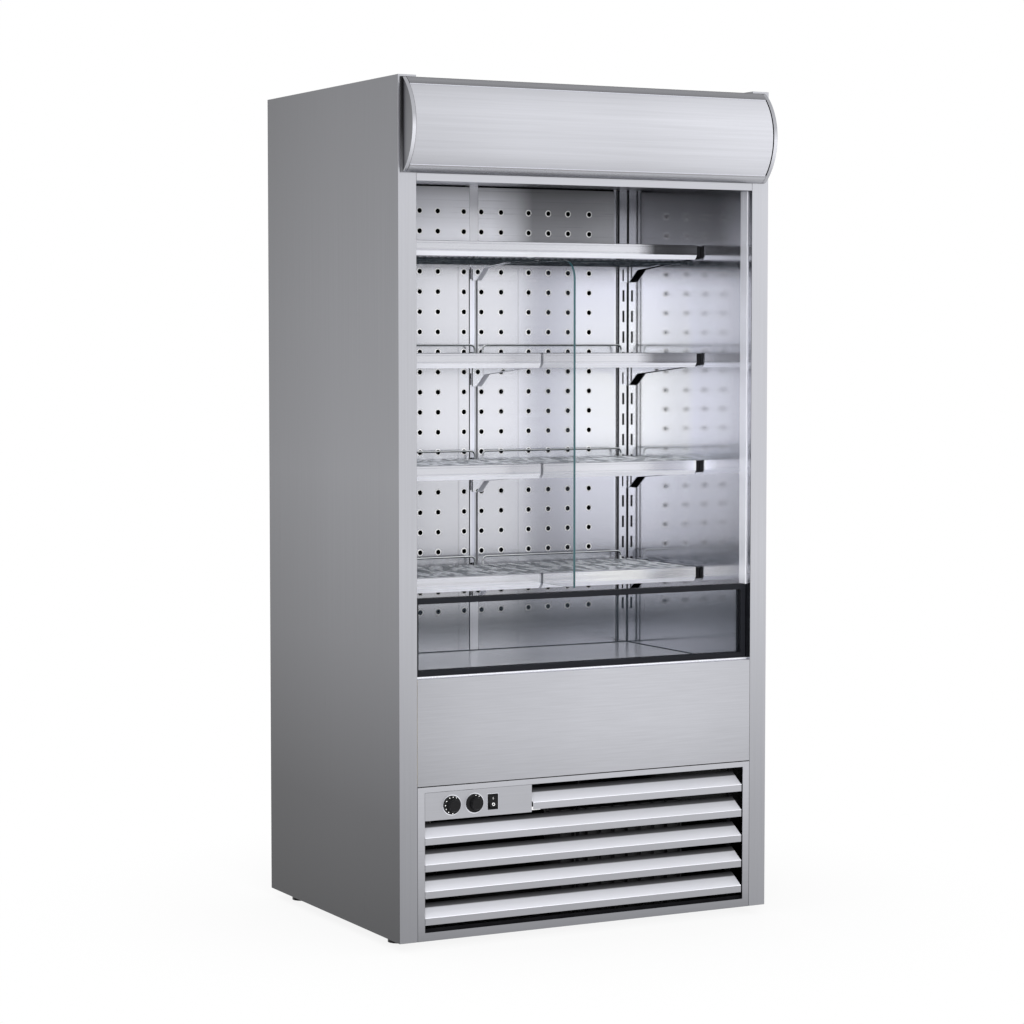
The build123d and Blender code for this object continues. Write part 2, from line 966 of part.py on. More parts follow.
def switch_housing():
    """The rocker's housing: a lip on the panel and a box through it, with pin holes."""
    lip = slab(
        (switch_x - switch_width / 2, switch_x + switch_width / 2),
        (front - switch_lip, front),
        (control_level - switch_height / 2, control_level + switch_height / 2),
    )
    outer = [size + switch_wall for size in rocker_mouth]
    depth = front + switch_body_depth
    body = slab(
        (switch_x - outer[0], switch_x + outer[0]),
        (front, depth),
        (control_level - outer[1], control_level + outer[1]),
    )
    mouth = slab(
        (switch_x - rocker_mouth[0], switch_x + rocker_mouth[0]),
        (front - switch_lip, depth - switch_wall),
        (control_level - rocker_mouth[1], control_level + rocker_mouth[1]),
    )
    bore = round_section(rocker_pin_radius + shaft_clearance, bar_sides, bored=True)
    return lip + body - mouth - rocker_pin(bore, outer[0])


def rocker_pin(section, reach):
    """The rocker's pivot pin, through both side walls of its housing."""
    return along_x(Pos(front + rocker_pivot, control_level) * section, (switch_x - reach, switch_x + reach))


def switch_rocker():
    """The rocker at rest with its upper half pressed in; its face is a shallow valley."""
    reach = rocker_mouth[1] - rocker_swing_gap
    valley = rocker_pivot + switch_lip
    rise = reach * math.tan(math.radians(rocker_tilt))
    taper = reach - rocker_back_taper
    section = outline(
        (-valley, 0),
        (-valley - rise, reach),
        (0, reach),
        (rocker_back, taper),
        (rocker_back, -taper),
        (0, -reach),
        (-valley - rise, -reach),
    )
    width = rocker_mouth[0] - rocker_gap
    rocker = Rot(-rocker_tilt, 0, 0) * along_x(section, (-width, width))
    rocker = Pos(switch_x, front + rocker_pivot, control_level) * rocker
    pin = round_section(rocker_pin_radius, bar_sides)
    return rocker + rocker_pin(pin, rocker_mouth[0] + switch_wall - seat_gap)


# Refrigeration


def fan(x, y, z, radius):
    """A bladed fan round a Y axis, centred on a plane, with its shaft to the motor behind."""
    depths = (y - hub_length / 2, y + hub_length / 2)
    hub = along_y(Pos(x, z) * RegularPolygon(hub_radius, 2 * fan_blades), depths)
    tip = ring_stretch((0, 0), radius, hub_radius / 2, -fan_blade_sector / 2, fan_blade_sector)
    blade = Pos(0, 0, -fan_blade_sheet / 2) * extrude(tip, amount=fan_blade_sheet)
    blade = Rot(fan_blade_angle, 0, 0) * blade
    fan_body = hub
    for i in range(fan_blades):
        turned = Rot(0, 0, 360 * i / fan_blades) * blade
        fan_body += Pos(x, y, z) * Rot(90, 0, 0) * turned
    shaft = round_section(fan_shaft_radius, bar_sides)
    return fan_body + along_back(x, y + hub_length / 2, z, shaft, fan_shaft_length)


def fan_reach(radius):
    """How far a fan's blades reach to each side of its middle plane."""
    tip = radius * math.sin(math.radians(fan_blade_sector / 2)) * math.sin(math.radians(fan_blade_angle))
    return max(tip + fan_blade_sheet, hub_length / 2)


def motor_on_strap(x, plate_back, fan_plane, z, opening, fan_radius):
    """A fan motor on a bent strap that stands on the plate behind its opening."""
    motor_front = fan_plane + fan_reach(fan_radius) + motor_gap
    motor = along_y(Pos(x, z) * Rectangle(motor_size, motor_size), (motor_front, motor_front + motor_length))
    bar = (motor_front, motor_front + strap_sheet)
    heights = (z - strap_width / 2, z + strap_width / 2)
    reach = opening + strap_margin
    frame = motor + slab((x - reach, x + reach), bar, heights)
    for side in (-1, 1):
        leg = sorted((x + side * reach, x + side * (reach - strap_sheet)))
        frame += slab(leg, (plate_back, bar[1]), heights)
    bore = round_section(fan_shaft_radius + shaft_clearance, bar_sides, bored=True)
    depth = fan_plane + hub_length / 2 + fan_shaft_length + seat_gap - motor_front
    return frame - along_back(x, motor_front, z, bore, depth)


def finned_block(x, y, z, fins, upright):
    """A finned coil: sheet fins on a middle web, open towards Y or towards Z."""
    pitch = (x[1] - x[0] - fin_sheet) / (fins - 1)
    spread = y if upright else z
    web = (sum(spread) / 2 - coil_web / 2, sum(spread) / 2 + coil_web / 2)
    block = slab(x, web, z) if upright else slab(x, y, web)
    for i in range(fins):
        start = x[0] + pitch * i
        block += slab((start, start + fin_sheet), y, z)
    return block


def evaporator():
    depth = front + evaporator_front
    floor = well_floor + inner_skin
    return finned_block(
        (evaporator_margin - inner, inner - evaporator_margin),
        (depth, depth + evaporator_depth),
        (floor, floor + evaporator_height),
        evaporator_fins,
        False,
    )


well_plate = (front + well_plate_front, front + well_plate_front + well_plate_sheet)
well_fan_level = (well_floor + inner_skin + deck_under) / 2


def evaporator_fan_frames():
    """The plate across the well with two fan openings, and the motors on it."""
    reach = inner - ledge_width - panel_gap
    plate = slab((-reach, reach), well_plate, (well_floor + inner_skin, deck_under))
    opening = round_section(well_fan_opening, round_sides, bored=True)
    for x in (-well_fan_spread, well_fan_spread):
        plate -= along_back(x, well_plate[0], well_fan_level, opening, well_plate_sheet)
        plate += motor_on_strap(
            x, well_plate[1], sum(well_plate) / 2, well_fan_level, well_fan_opening, well_fan_radius
        )
    return plate


condenser_low = low + tray_sheet
condenser_back = front + condenser_front + condenser_depth
condenser_level = condenser_low + condenser_height / 2
shroud_back = condenser_back + shroud_depth
condenser_span = (condenser_x - condenser_width / 2, condenser_x + condenser_width / 2)
condenser_heights = (condenser_low, condenser_low + condenser_height)


def condenser():
    near = front + condenser_front
    return finned_block(condenser_span, (near, condenser_back), condenser_heights, condenser_fins, True)


def condenser_fan_frame():
    """The shroud behind the condenser, with its round opening and the motor on it."""
    shroud = slab(condenser_span, (condenser_back, shroud_back), condenser_heights)
    shroud -= slab(
        (condenser_span[0] + shroud_sheet, condenser_span[1] - shroud_sheet),
        (condenser_back, shroud_back - shroud_sheet),
        (condenser_heights[0] + shroud_sheet, condenser_heights[1] - shroud_sheet),
    )
    opening = condenser_fan_radius + condenser_fan_clearance
    hole = round_section(opening, round_sides, bored=True)
    shroud -= along_back(condenser_x, shroud_back - shroud_sheet, condenser_level, hole, shroud_sheet)
    return shroud + motor_on_strap(
        condenser_x, shroud_back, shroud_back, condenser_level, opening, condenser_fan_radius
    )


def sloped_off(solid, end, inwards, height):
    """An upright round with the edge of its lowest (0) or highest (-1) face sloped off."""
    face = solid.faces().sort_by(Axis.Z)[end]
    return chamfer(face.edges(), inwards, height, reference=face)


def compressor():
    """The sealed compressor: a rounded drum on a plate with four grommets."""
    y = front + compressor_depth_place
    floor = low + tray_sheet
    plate_low = floor + grommet_height
    drum_low = plate_low + compressor_plate_sheet
    drum = round_section(compressor_radius, round_sides)
    body = along_z(Pos(compressor_x, y) * drum, (drum_low, drum_low + compressor_height))
    for end in (0, -1):
        body = sloped_off(body, end, compressor_shoulder, compressor_shoulder_height)
    reach = compressor_plate / 2
    body += slab(
        (compressor_x - reach, compressor_x + reach), (y - reach, y + reach), (plate_low, drum_low)
    )
    corner = reach - grommet_radius
    for dx in (-corner, corner):
        for dy in (-corner, corner):
            foot = RegularPolygon(grommet_radius, hexagon_sides)
            body += along_z(Pos(compressor_x + dx, y + dy) * foot, (floor, plate_low))
    return body


def drain_pan():
    """The open pan in which the defrost water dries off."""
    far = skin_back - drain_pan_back_gap
    x = (drain_pan_x - drain_pan_width / 2, drain_pan_x + drain_pan_width / 2)
    y = (far - drain_pan_depth, far)
    floor = low + tray_sheet
    wall = drain_pan_wall
    pan = slab(x, y, (floor, floor + drain_pan_height))
    return pan - slab(
        (x[0] + wall, x[1] - wall), (y[0] + wall, y[1] - wall), (floor + wall, floor + drain_pan_height)
    )


# Feet


def foot(place):
    """A levelling foot: a disc with a sloped top, a hexagon under the tray, and a stud."""
    x, y = place
    nut_low, nut_high = foot_rim + foot_cone, low - seat_gap
    disc = along_z(round_section(foot_radius, round_sides), (0, nut_low))
    pad = sloped_off(disc, -1, foot_radius - foot_neck_radius, foot_cone)
    pad += along_z(RegularPolygon(foot_neck_radius, hexagon_sides), (nut_low, nut_high))
    pad += along_z(round_section(stud_radius, bar_sides), (nut_high, nut_high + stud_length))
    return Pos(x, y, 0) * pad


nodes = {
    "side_skin_left": side_skin(-1),
    "side_skin_right": side_skin(1),
    "side_liners": side_liners(),
    "insulation": insulation(),
    "inner_liner": inner_liner(),
    "rear_skin": rear_skin(),
    "rear_vent_cover": rear_vent_cover(),
    "roof_skin": roof_skin(),
    "base_tray": base_tray(),
    "ceiling_panel": ceiling_panel(),
    "air_outlet": air_outlet(),
    "uprights": uprights(),
    "back_panels": back_panels(),
    "deck_plates": deck_plates(),
    "return_grille": return_grille(),
    "canopy_panel": canopy_panel(),
    "canopy_rails": canopy_rails(),
    "canopy_caps": canopy_caps(),
    "canopy_back_plate": canopy_back_plate(),
    "header_rail": header_rail(),
    "lamp": lamp(),
    "glass_divider": glass_divider(),
    "divider_channel": divider_channel(),
    "riser_frame": riser_frame(),
    "riser_glass": riser_glass(),
    "opening_trims": opening_trims(),
    "front_fascia": front_fascia(),
    "grille_frame": grille_frame(),
    "louvre_stays": louvre_stays(),
    "louvre_blades": louvre_blades(),
    "control_panel": control_panel(),
    "control_bodies": group([*control_bodies(), switch_housing()]),
    "thermostat_knob": knob(knob_places[0]),
    "defrost_knob": knob(knob_places[1]),
    "switch_rocker": switch_rocker(),
    "compressor": compressor(),
    "condenser": condenser(),
    "condenser_fan_frame": condenser_fan_frame(),
    "condenser_fan": fan(condenser_x, shroud_back, condenser_level, condenser_fan_radius),
    "evaporator": evaporator(),
    "evaporator_fan_frames": evaporator_fan_frames(),
    "evaporator_fan_left": fan(-well_fan_spread, sum(well_plate) / 2, well_fan_level, well_fan_radius),
    "evaporator_fan_right": fan(well_fan_spread, sum(well_plate) / 2, well_fan_level, well_fan_radius),
    "drain_pan": drain_pan(),
}
for number in range(shelf_count):
    nodes[f"shelf_rail_{number + 1}"] = shelf_rail(number)
    nodes[f"shelf_grid_{number + 1}"] = shelf_grid(number)
    nodes[f"shelf_brackets_{number + 1}"] = shelf_brackets(number)
for name, place in zip(("front_left", "front_right", "rear_left", "rear_right"), foot_places):
    nodes[f"foot_{name}"] = foot(place)

os.makedirs("parts", exist_ok=True)
for name, shape in nodes.items():
    export_step(shape, f"parts/{name}.step")
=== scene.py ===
import json
import math

import bmesh
import bpy
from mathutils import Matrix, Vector


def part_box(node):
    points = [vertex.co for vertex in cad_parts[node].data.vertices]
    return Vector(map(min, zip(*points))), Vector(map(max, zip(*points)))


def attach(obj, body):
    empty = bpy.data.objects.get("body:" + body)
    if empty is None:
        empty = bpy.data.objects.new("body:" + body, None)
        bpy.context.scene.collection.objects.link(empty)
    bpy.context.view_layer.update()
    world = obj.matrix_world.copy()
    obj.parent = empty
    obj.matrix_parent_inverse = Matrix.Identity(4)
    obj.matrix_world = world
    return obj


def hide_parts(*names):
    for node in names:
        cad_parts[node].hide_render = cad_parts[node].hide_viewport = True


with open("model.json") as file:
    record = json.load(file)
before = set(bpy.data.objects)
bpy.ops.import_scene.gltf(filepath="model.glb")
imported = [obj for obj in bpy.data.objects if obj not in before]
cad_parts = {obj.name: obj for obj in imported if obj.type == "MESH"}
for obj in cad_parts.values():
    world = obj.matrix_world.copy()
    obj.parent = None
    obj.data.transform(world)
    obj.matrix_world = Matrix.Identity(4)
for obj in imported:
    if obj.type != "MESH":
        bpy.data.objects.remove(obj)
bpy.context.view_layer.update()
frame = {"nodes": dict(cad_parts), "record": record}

# Camera: at eye level to the left of the open front, with a long lens, as the photograph is taken.
# It looks a little down, so the fridge's corners stay nearly upright in the picture.

camera_place = Vector((-3.2378, -6.1293, 1.4083))
camera_yaw = math.radians(27.69)
camera_pitch = math.radians(-3.437)
focal_pixels = 2790.2
frame_pixels = 1024
sensor_width = 36

camera = bpy.data.objects.new("camera", bpy.data.cameras.new("camera"))
bpy.context.scene.collection.objects.link(camera)
camera.data.sensor_width = sensor_width
camera.data.lens = sensor_width * focal_pixels / frame_pixels
camera.location = camera_place
camera.rotation_euler = (math.pi / 2 + camera_pitch, 0, -camera_yaw)
bpy.context.scene.camera = camera
bpy.context.scene.view_settings.view_transform = "Standard"


# Surround: a white world, at full strength for the camera, metal and glass and weaker as light on the fridge.
# The two classes join the sockets of shaders, here and in every finish below.


class Value:
    """One output of a shader node. Arithmetic on it adds Math nodes beside it."""

    def __init__(self, tree, node, output=0):
        self.tree, self.node, self.socket = tree, node, node.outputs[output]

    def output(self, name):
        return Value(self.tree, self.node, name)

    def math(self, operation, *others):
        return self.tree.add("Math", {"operation": operation}, dict(enumerate((self, *others))))

    def __add__(self, other):
        return self.math("ADD", other)

    def __mul__(self, other):
        return self.math("MULTIPLY", other)

    def __sub__(self, other):
        return self.math("SUBTRACT", other)

    def __rsub__(self, other):
        return self * -1 + other

    __radd__, __rmul__ = __add__, __mul__

    def over(self, level, blur):
        """0 below a level, 1 above it, and soft between."""
        sockets = {0: self, 1: level - blur, 2: level + blur}
        return self.tree.add("MapRange", {"interpolation_type": "SMOOTHSTEP"}, sockets)


class Tree:
    """The nodes of one finish, or of the world."""

    def __init__(self, node_tree):
        self.nodes, self.links = node_tree.nodes, node_tree.links
        self.nodes.clear()

    def add(self, kind, settings=None, inputs=None, output=0):
        """A node of a kind: its settings come first, then a value or a link for its sockets."""
        node = self.nodes.new("ShaderNode" + kind)
        for name, value in (settings or {}).items():
            if name == "stops":
                ramp = node.color_ramp.elements
                while len(ramp) < len(value):
                    ramp.new(0.5)
                for stop, (place, colour) in zip(ramp, value):
                    stop.position, stop.color = place, (*colour, 1)
            else:
                setattr(node, name, value)
        for key, value in (inputs or {}).items():
            if isinstance(value, Value):
                self.links.new(value.socket, node.inputs[key])
            else:
                node.inputs[key].default_value = value
        return Value(self, node, output) if node.outputs else None

    def seen_directly(self):
        """1 for what the camera, metal and glass see, and 0 for light on the object."""
        ray = self.add("LightPath")
        gloss = ray.output("Is Camera Ray").math("MAXIMUM", ray.output("Is Glossy Ray"))
        return gloss.math("MAXIMUM", ray.output("Is Transmission Ray"))


white = (1, 1, 1, 1)
ambient = 0.7
world = bpy.data.worlds.new("surround")
bpy.context.scene.world = world
world.use_nodes = True
tree = Tree(world.node_tree)
strength = tree.seen_directly() * (1 - ambient) + ambient
surround = tree.add("Background", inputs={"Color": white, "Strength": strength})
tree.add("OutputWorld", inputs={"Surface": surround})


# Floor: one pale painted sheet under the fridge. It keeps the fridge's shadow round the feet,
# and further out it fades into the white surround.


def socket_name(word):
    """The shader's own name for a socket: base_color is Base Color."""
    return word.replace("_", " ").title().replace("Ior", "IOR")


class Finish(Tree):
    """A material with one main shader. What is the same all over is set on the shader itself."""

    def __init__(self, name, **constants):
        self.material = bpy.data.materials.new(name)
        self.material.use_nodes = True
        super().__init__(self.material.node_tree)
        named = {socket_name(key): value for key, value in constants.items()}
        if "Base Color" in named:
            named["Base Color"] = (*named["Base Color"], 1)
        self.surface = self.shader = self.add("BsdfPrincipled", inputs=named)
        self.spot = self.add("TexCoord", output="Object")
        self.joined = False

    def along(self, axis):
        """The place on the object along X, Y or Z, in metres."""
        return self.add("SeparateXYZ", inputs={0: self.spot}).output(axis)

    def mix(self, share, first, second):
        """A colour between two colours."""
        colours = [c if isinstance(c, Value) else (*c, 1) for c in (first, second)]
        return self.add("Mix", {"data_type": "RGBA"}, {0: share, 6: colours[0], 7: colours[1]}, output=2)

    def vectors(self, operation, first, second):
        return self.add("VectorMath", {"operation": operation}, {0: first, 1: second})

    def noise(self, cells, detail=2):
        """A noise from 0 to 1, with its number of cells per metre along X, Y and Z."""
        scaled = self.vectors("MULTIPLY", self.spot, cells)
        return self.add("TexNoise", {}, {"Vector": scaled, "Scale": 1, "Detail": detail})

    def mottle(self, cells, dark, light, detail=2):
        """Colours it between two tones with a noise, which it also returns."""
        patches = self.noise(cells, detail)
        self.vary(base_color=self.mix(patches, dark, light))
        return patches

    def graded(self, axis, stops):
        """A grey graded along an axis, from pairs of a place in metres and a level."""
        low, high = stops[0][0], stops[-1][0]
        share = (self.along(axis) - low) * (1 / (high - low))
        ramp = [((place - low) / (high - low), (grey, grey, grey)) for place, grey in stops]
        return self.add("ValToRGB", {"stops": ramp}, {0: share})

    def vary(self, **sockets):
        """Links what changes over the surface."""
        for key, value in sockets.items():
            self.links.new(value.socket, self.shader.node.inputs[socket_name(key)])
        return self

    def relief(self, height, strength, depth):
        sockets = {"Height": height, "Strength": strength, "Distance": depth}
        return self.vary(normal=self.add("Bump", inputs=sockets))

    def cover(self, *pieces, chosen=None):
        """Gives the finish to whole pieces, or to those of their faces that a test picks."""
        if not self.joined:
            self.add("OutputMaterial", inputs={"Surface": self.surface})
            self.joined = True
        for piece in pieces:
            if chosen is None:
                piece.data.materials.clear()
            piece.data.materials.append(self.material)
            for face in piece.data.polygons:
                if chosen is None or chosen(face):
                    face.material_index = len(piece.data.materials) - 1
        return self


smooth_up_to = math.radians(35)


def mesh_piece(name, points, faces, smooth=False):
    """A mesh object from its points and faces, in the frame that the CAD uses."""
    mesh = bpy.data.meshes.new(name)
    mesh.from_pydata([tuple(p) for p in points], [], faces)
    bm = bmesh.new()
    bm.from_mesh(mesh)
    bmesh.ops.recalc_face_normals(bm, faces=bm.faces)
    bm.to_mesh(mesh)
    bm.free()
    if smooth:
        mesh.shade_smooth()
        mesh.set_sharp_from_angle(angle=smooth_up_to)
    piece = bpy.data.objects.new(name, mesh)
    bpy.context.scene.collection.objects.link(piece)
    return piece


floor_reach = 30
floor_under = -0.0004
shadow_glow = 0.86
shadow_reach, shadow_blur = 0.9, 0.5
corners = ((-1, -1), (1, -1), (1, 1), (-1, 1))
floor_points = [(x * floor_reach, y * floor_reach, floor_under) for x, y in corners]
floor = mesh_piece("floor", floor_points, [(0, 1, 2, 3)])
paint = Finish("floor_paint", base_color=(0.95, 0.95, 0.95), roughness=0.9, specular_ior_level=0)
distance = paint.add("VectorMath", {"operation": "LENGTH"}, {0: paint.spot}, output="Value")
glow_share = shadow_glow + (1 - shadow_glow) * distance.over(shadow_reach, shadow_blur)
glow = paint.add("Emission", inputs={"Color": white, "Strength": 1})
glow_share = paint.seen_directly() * glow_share
paint.surface = paint.add("MixShader", inputs={0: glow_share, 1: paint.shader, 2: glow})
paint.cover(floor)


# Lamps: a wide soft one in front and a weak one from the left. Metal mirrors the white surround
# and not the lamps, so that brushed steel keeps its written tone.


def soft_lamp(name, place, aim, size, power):
    lamp = bpy.data.objects.new(name, bpy.data.lights.new(name, "AREA"))
    bpy.context.scene.collection.objects.link(lamp)
    lamp.data.shape = "RECTANGLE"
    lamp.data.size, lamp.data.size_y = size
    lamp.data.energy = power
    lamp.location = place
    lamp.rotation_euler = (Vector(aim) - Vector(place)).to_track_quat("-Z", "Y").to_euler()
    lamp.visible_glossy = False


fridge_middle = (0, 0, 1.1)
soft_lamp("front_lamp", (-2.0, -5.6, 2.4), fridge_middle, (3.6, 2.6), 300)
soft_lamp("left_lamp", (-5.5, -0.5, 2.6), fridge_middle, (2, 2), 25)


# Side panels: brushed stainless pans, grained from top to bottom, with their front edges folded into posts.
# A press brake leaves each fold a little round, so the solid's edges are rounded on a copy of it.

fold_round = 0.0008
flat_up_to = math.radians(1)
folded_from = math.radians(25)
same_corner = 0.00001
# Brush marks, in cells per metre along X, Y and Z: the grain and its fine scratches.
grain_up = (330, 330, 1.6)
grain_across = (1.6, 330, 330)
fine_up = (1500, 1500, 6)
fine_across = (6, 1500, 1500)
cloud_cells = (2.5, 2.5, 1.2)
steel_tint = (0.975, 0.985, 1.055)


def dress(piece, node):
    """Puts a piece in the place of a CAD node: it rides on the same body, and the node is hidden."""
    record = frame["record"]
    bodies = record["behaviour"]["bodies"]
    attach(piece, next(body for body, names in bodies.items() if node in names))
    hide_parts(node)
    return piece


def softened(node, radius=fold_round, segments=2, merged=True):
    """A copy of a CAD piece with rounded edges, shown in place of it. Flat neighbours are merged first.

    They stay apart on a pan, because its thin rim would close over the opening.
    """
    mesh = frame["nodes"][node].data.copy()
    bm = bmesh.new()
    bm.from_mesh(mesh)
    bmesh.ops.remove_doubles(bm, verts=bm.verts, dist=same_corner)
    if merged:
        bmesh.ops.dissolve_limit(bm, angle_limit=flat_up_to, verts=bm.verts, edges=bm.edges)
    sharp = [edge for edge in bm.edges if edge.is_manifold and edge.calc_face_angle() > folded_from]
    rounding = {"offset": radius, "segments": segments, "profile": 0.5, "clamp_overlap": True}
    bmesh.ops.bevel(bm, geom=sharp, affect="EDGES", **rounding)
    bm.to_mesh(mesh)
    bm.free()
    mesh.shade_flat()
    piece = bpy.data.objects.new(node + "_made", mesh)
    bpy.context.scene.collection.objects.link(piece)
    return dress(piece, node)


def brushed(name, tones, grain, fine, contrast=0.1, roughness=0.32, depth=0.00003, metallic=1.0, spread=None):
    """Brushed steel: long scratches in tone, gloss and relief. Tones are pairs of a height and a grey.

    A spread is an axis and pairs of a place on it and a factor. Most calls use both to paint light and shade.
    """
    steel = Finish(name, metallic=metallic)
    streaks = steel.noise(grain, 3)
    scratches = steel.noise(fine, 2)
    cloud = steel.noise(cloud_cells, 1)
    mark = (streaks - 0.5) * 1.2 + (scratches - 0.5) * 0.8 + (cloud - 0.5) * 0.5
    tone = steel.vectors("MULTIPLY", steel.graded("Z", tones), steel_tint)
    if spread:
        tone = steel.vectors("MULTIPLY", tone, steel.graded(*spread))
    tone = steel.add("VectorMath", {"operation": "SCALE"}, {0: tone, "Scale": 1 + mark * contrast * 2})
    steel.vary(base_color=tone, roughness=mark * 0.1 + roughness)
    return steel.relief(scratches, 0.3, depth)


# Painted light and shade: the sides are darker towards the bottom and the rear, and the posts darker towards
# the bottom and on the left.
side_shade_tones = [(0.02, 0.06), (0.3, 0.1), (0.7, 0.21), (1.1, 0.28), (1.5, 0.26), (2.02, 0.21)]
side_shade_spread = ("Y", [(-0.36, 1.02), (0.0, 0.94), (0.41, 0.74)])
side_steel = brushed("side_steel", side_shade_tones, grain_up, fine_up, spread=side_shade_spread)
post_shade_tones = [(0.02, 0.32), (0.3, 0.38), (0.9, 0.58), (1.5, 0.6), (1.75, 0.63), (2.02, 0.58)]
post_shade_spread = ("X", [(-0.5, 0.96), (0.5, 1.06)])
post_steel = brushed("post_steel", post_shade_tones, grain_up, fine_up, 0.06, spread=post_shade_spread)
for node in ("side_skin_left", "side_skin_right"):
    skin = softened(node, merged=False)
    side_steel.cover(skin)
    post_steel.cover(skin, chosen=lambda face: face.normal.y < -0.5)


# Inner sheets of the side walls: bright annealed steel, smooth enough to mirror the shelves softly.
# Below the well the same sheets stand in the unlit machine compartment, where they are coloured nearly black
# as painted shade.

# Painted light and shade: the walls are brightest across the middle tiers and darker under the roof, low down
# and towards the front.
wall_shade_tones = [
    (0.02, 0.01), (0.38, 0.01), (0.4, 0.45), (0.62, 0.65), (0.7, 0.6), (0.85, 0.68), (1.0, 0.86), (1.1, 1.0),
    (1.36, 1.0), (1.42, 1.0), (1.55, 0.95), (1.62, 0.7), (1.68, 0.55), (1.8, 0.5),
]
wall_shade_spread = ("Y", [(-0.35, 0.58), (-0.22, 0.78), (-0.05, 1.0), (0.26, 1.0)])
wall_steel = brushed("wall_steel", wall_shade_tones, grain_up, fine_up, 0.02, 0.12, 0.000004, 1.0, wall_shade_spread)
wall_steel.cover(softened("side_liners", 0.0004))


# Foam and the hidden liner: rigid yellow foam, poured between the sheets, with open cells where it is cut.
# Its underside over the machine compartment is coloured near black as painted shade, and so is the liner
# behind the perforated back, which stands in the dark.

foam = Finish("foam", roughness=0.9)
cells = foam.mottle((400, 400, 400), (0.72, 0.62, 0.36), (0.86, 0.78, 0.54), 3)
foam.relief(cells, 0.6, 0.0006)
# Painted shade: a near-black finish for faces that stand in shade, here and further on.
shade_black = Finish("painted_shade_black", roughness=0.8, specular_ior_level=0.1)
shade_black.mottle((30, 30, 30), (0.004, 0.004, 0.005), (0.012, 0.012, 0.014))
blocks = softened("insulation", 0.0003, 1)
foam.cover(blocks)
shade_black.cover(blocks, chosen=lambda face: face.normal.z < -0.9)
shade_black.cover(softened("inner_liner", 0.0003, 1))


# Back, roof and base: folded sheets, screwed to the side panels. The back and the base are zinc-coated and
# spangled; their faces inside the machine compartment are coloured black as painted shade. The roof is
# brushed.

zinc = Finish("zinc_sheet", metallic=1.0)
spangle = zinc.add("TexVoronoi", {}, {"Vector": zinc.spot, "Scale": 90}, output="Color")
grey = zinc.add("RGBToBW", {}, {0: spangle})
smear = zinc.noise((6, 6, 2), 3)
zinc.vary(base_color=zinc.mix(grey * 0.6 + smear * 0.4, (0.42, 0.43, 0.45), (0.56, 0.57, 0.58)))
zinc.vary(roughness=grey * 0.12 + 0.36)
zinc.cover(softened("rear_skin", 0.0004))
cover = softened("rear_vent_cover", 0.0004)
zinc.cover(cover)
shade_black.cover(cover, chosen=lambda face: face.normal.y < -0.5)
tray = softened("base_tray", 0.0004)
zinc.cover(tray)
shade_black.cover(tray, chosen=lambda face: face.normal.z > -0.5)
roof_tones = [(1.7, 0.5), (2.02, 0.5)]
roof_steel = brushed("roof_steel", roof_tones, grain_across, fine_across, 0.06)
roof_steel.cover(softened("roof_skin", 0.0004))


# Canopy: a bowed brushed sheet held between an upper and a lower rail, with a cap at each end.
# The bow is one arc. A pale bead lines each rail, and a dark gap is left beside the right cap.

sheet_inset, sheet_thick = 0.001, 0.0012
right_gap = 0.003
rail_wide, rail_thick = 0.024, 0.004
strip_wide = 0.0016
cap_wide = 0.010
plate_left_gap, plate_right_gap = 0.005, 0.013
caps_low, caps_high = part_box("canopy_caps")
sheet_low, sheet_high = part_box("canopy_panel")
rails_low, rails_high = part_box("canopy_rails")
rise = caps_high.y - caps_low.y
canopy_high = caps_high.z - caps_low.z
bow_radius = ((canopy_high / 2) ** 2 + rise**2) / (2 * rise)
bow_middle = (caps_low.y + bow_radius, (caps_low.z + caps_high.z) / 2)
half_bow = math.asin(canopy_high / 2 / bow_radius)


def bow_points(radius, start, end, steps):
    """Points of an arc in Y and Z about the bow's middle. The angle is 0 at the crown and grows upwards."""
    angles = [start + (end - start) * i / steps for i in range(steps + 1)]
    return [(bow_middle[0] - radius * math.cos(a), bow_middle[1] + radius * math.sin(a)) for a in angles]


def drawn_bar(name, section, x_low, x_high, smooth=True):
    """A closed section in Y and Z, drawn out along X between two planes."""
    count = len(section)
    points = [(x, y, z) for x in (x_low, x_high) for y, z in section]
    sides = [(i, (i + 1) % count, count + (i + 1) % count, count + i) for i in range(count)]
    return mesh_piece(name, points, [*sides, tuple(range(count)), tuple(range(count, 2 * count))], smooth)


def rounded_off(piece, radius, segments=2):
    """Rounds the sharp edges of a made piece."""
    bevel = piece.modifiers.new("edges", "BEVEL")
    bevel.width, bevel.segments = radius, segments
    bevel.limit_method, bevel.angle_limit = "ANGLE", math.radians(30)
    bevel.harden_normals = True
    return piece


def arc_strip(radius, start, end, thick, steps=8):
    """The section of a strip of sheet along the bow."""
    return bow_points(radius, start, end, steps) + bow_points(radius - thick, end, start, steps)


edge = half_bow - rail_wide / bow_radius
section = arc_strip(bow_radius - sheet_inset, -edge, edge, sheet_thick, 48)
canopy_sheet = drawn_bar("canopy_sheet", section, sheet_low.x, sheet_high.x - right_gap)
# Painted light and shade: the sheet is palest in its upper half, darker at top and bottom, and darker towards
# the left.
canopy_shade_tones = [(1.7, 0.62), (1.82, 0.64), (1.85, 0.72), (1.94, 0.76), (1.97, 0.7), (2.0, 0.62)]
canopy_shade_spread = ("X", [(-0.5, 0.86), (-0.2, 0.95), (0.1, 0.97), (0.5, 1.08)])
canopy_grain = (2.2, 130, 130)
canopy_steel = brushed(
    "canopy_steel", canopy_shade_tones, canopy_grain, fine_across, 0.09, 0.36, spread=canopy_shade_spread
)
canopy_steel.cover(dress(canopy_sheet, "canopy_panel"))
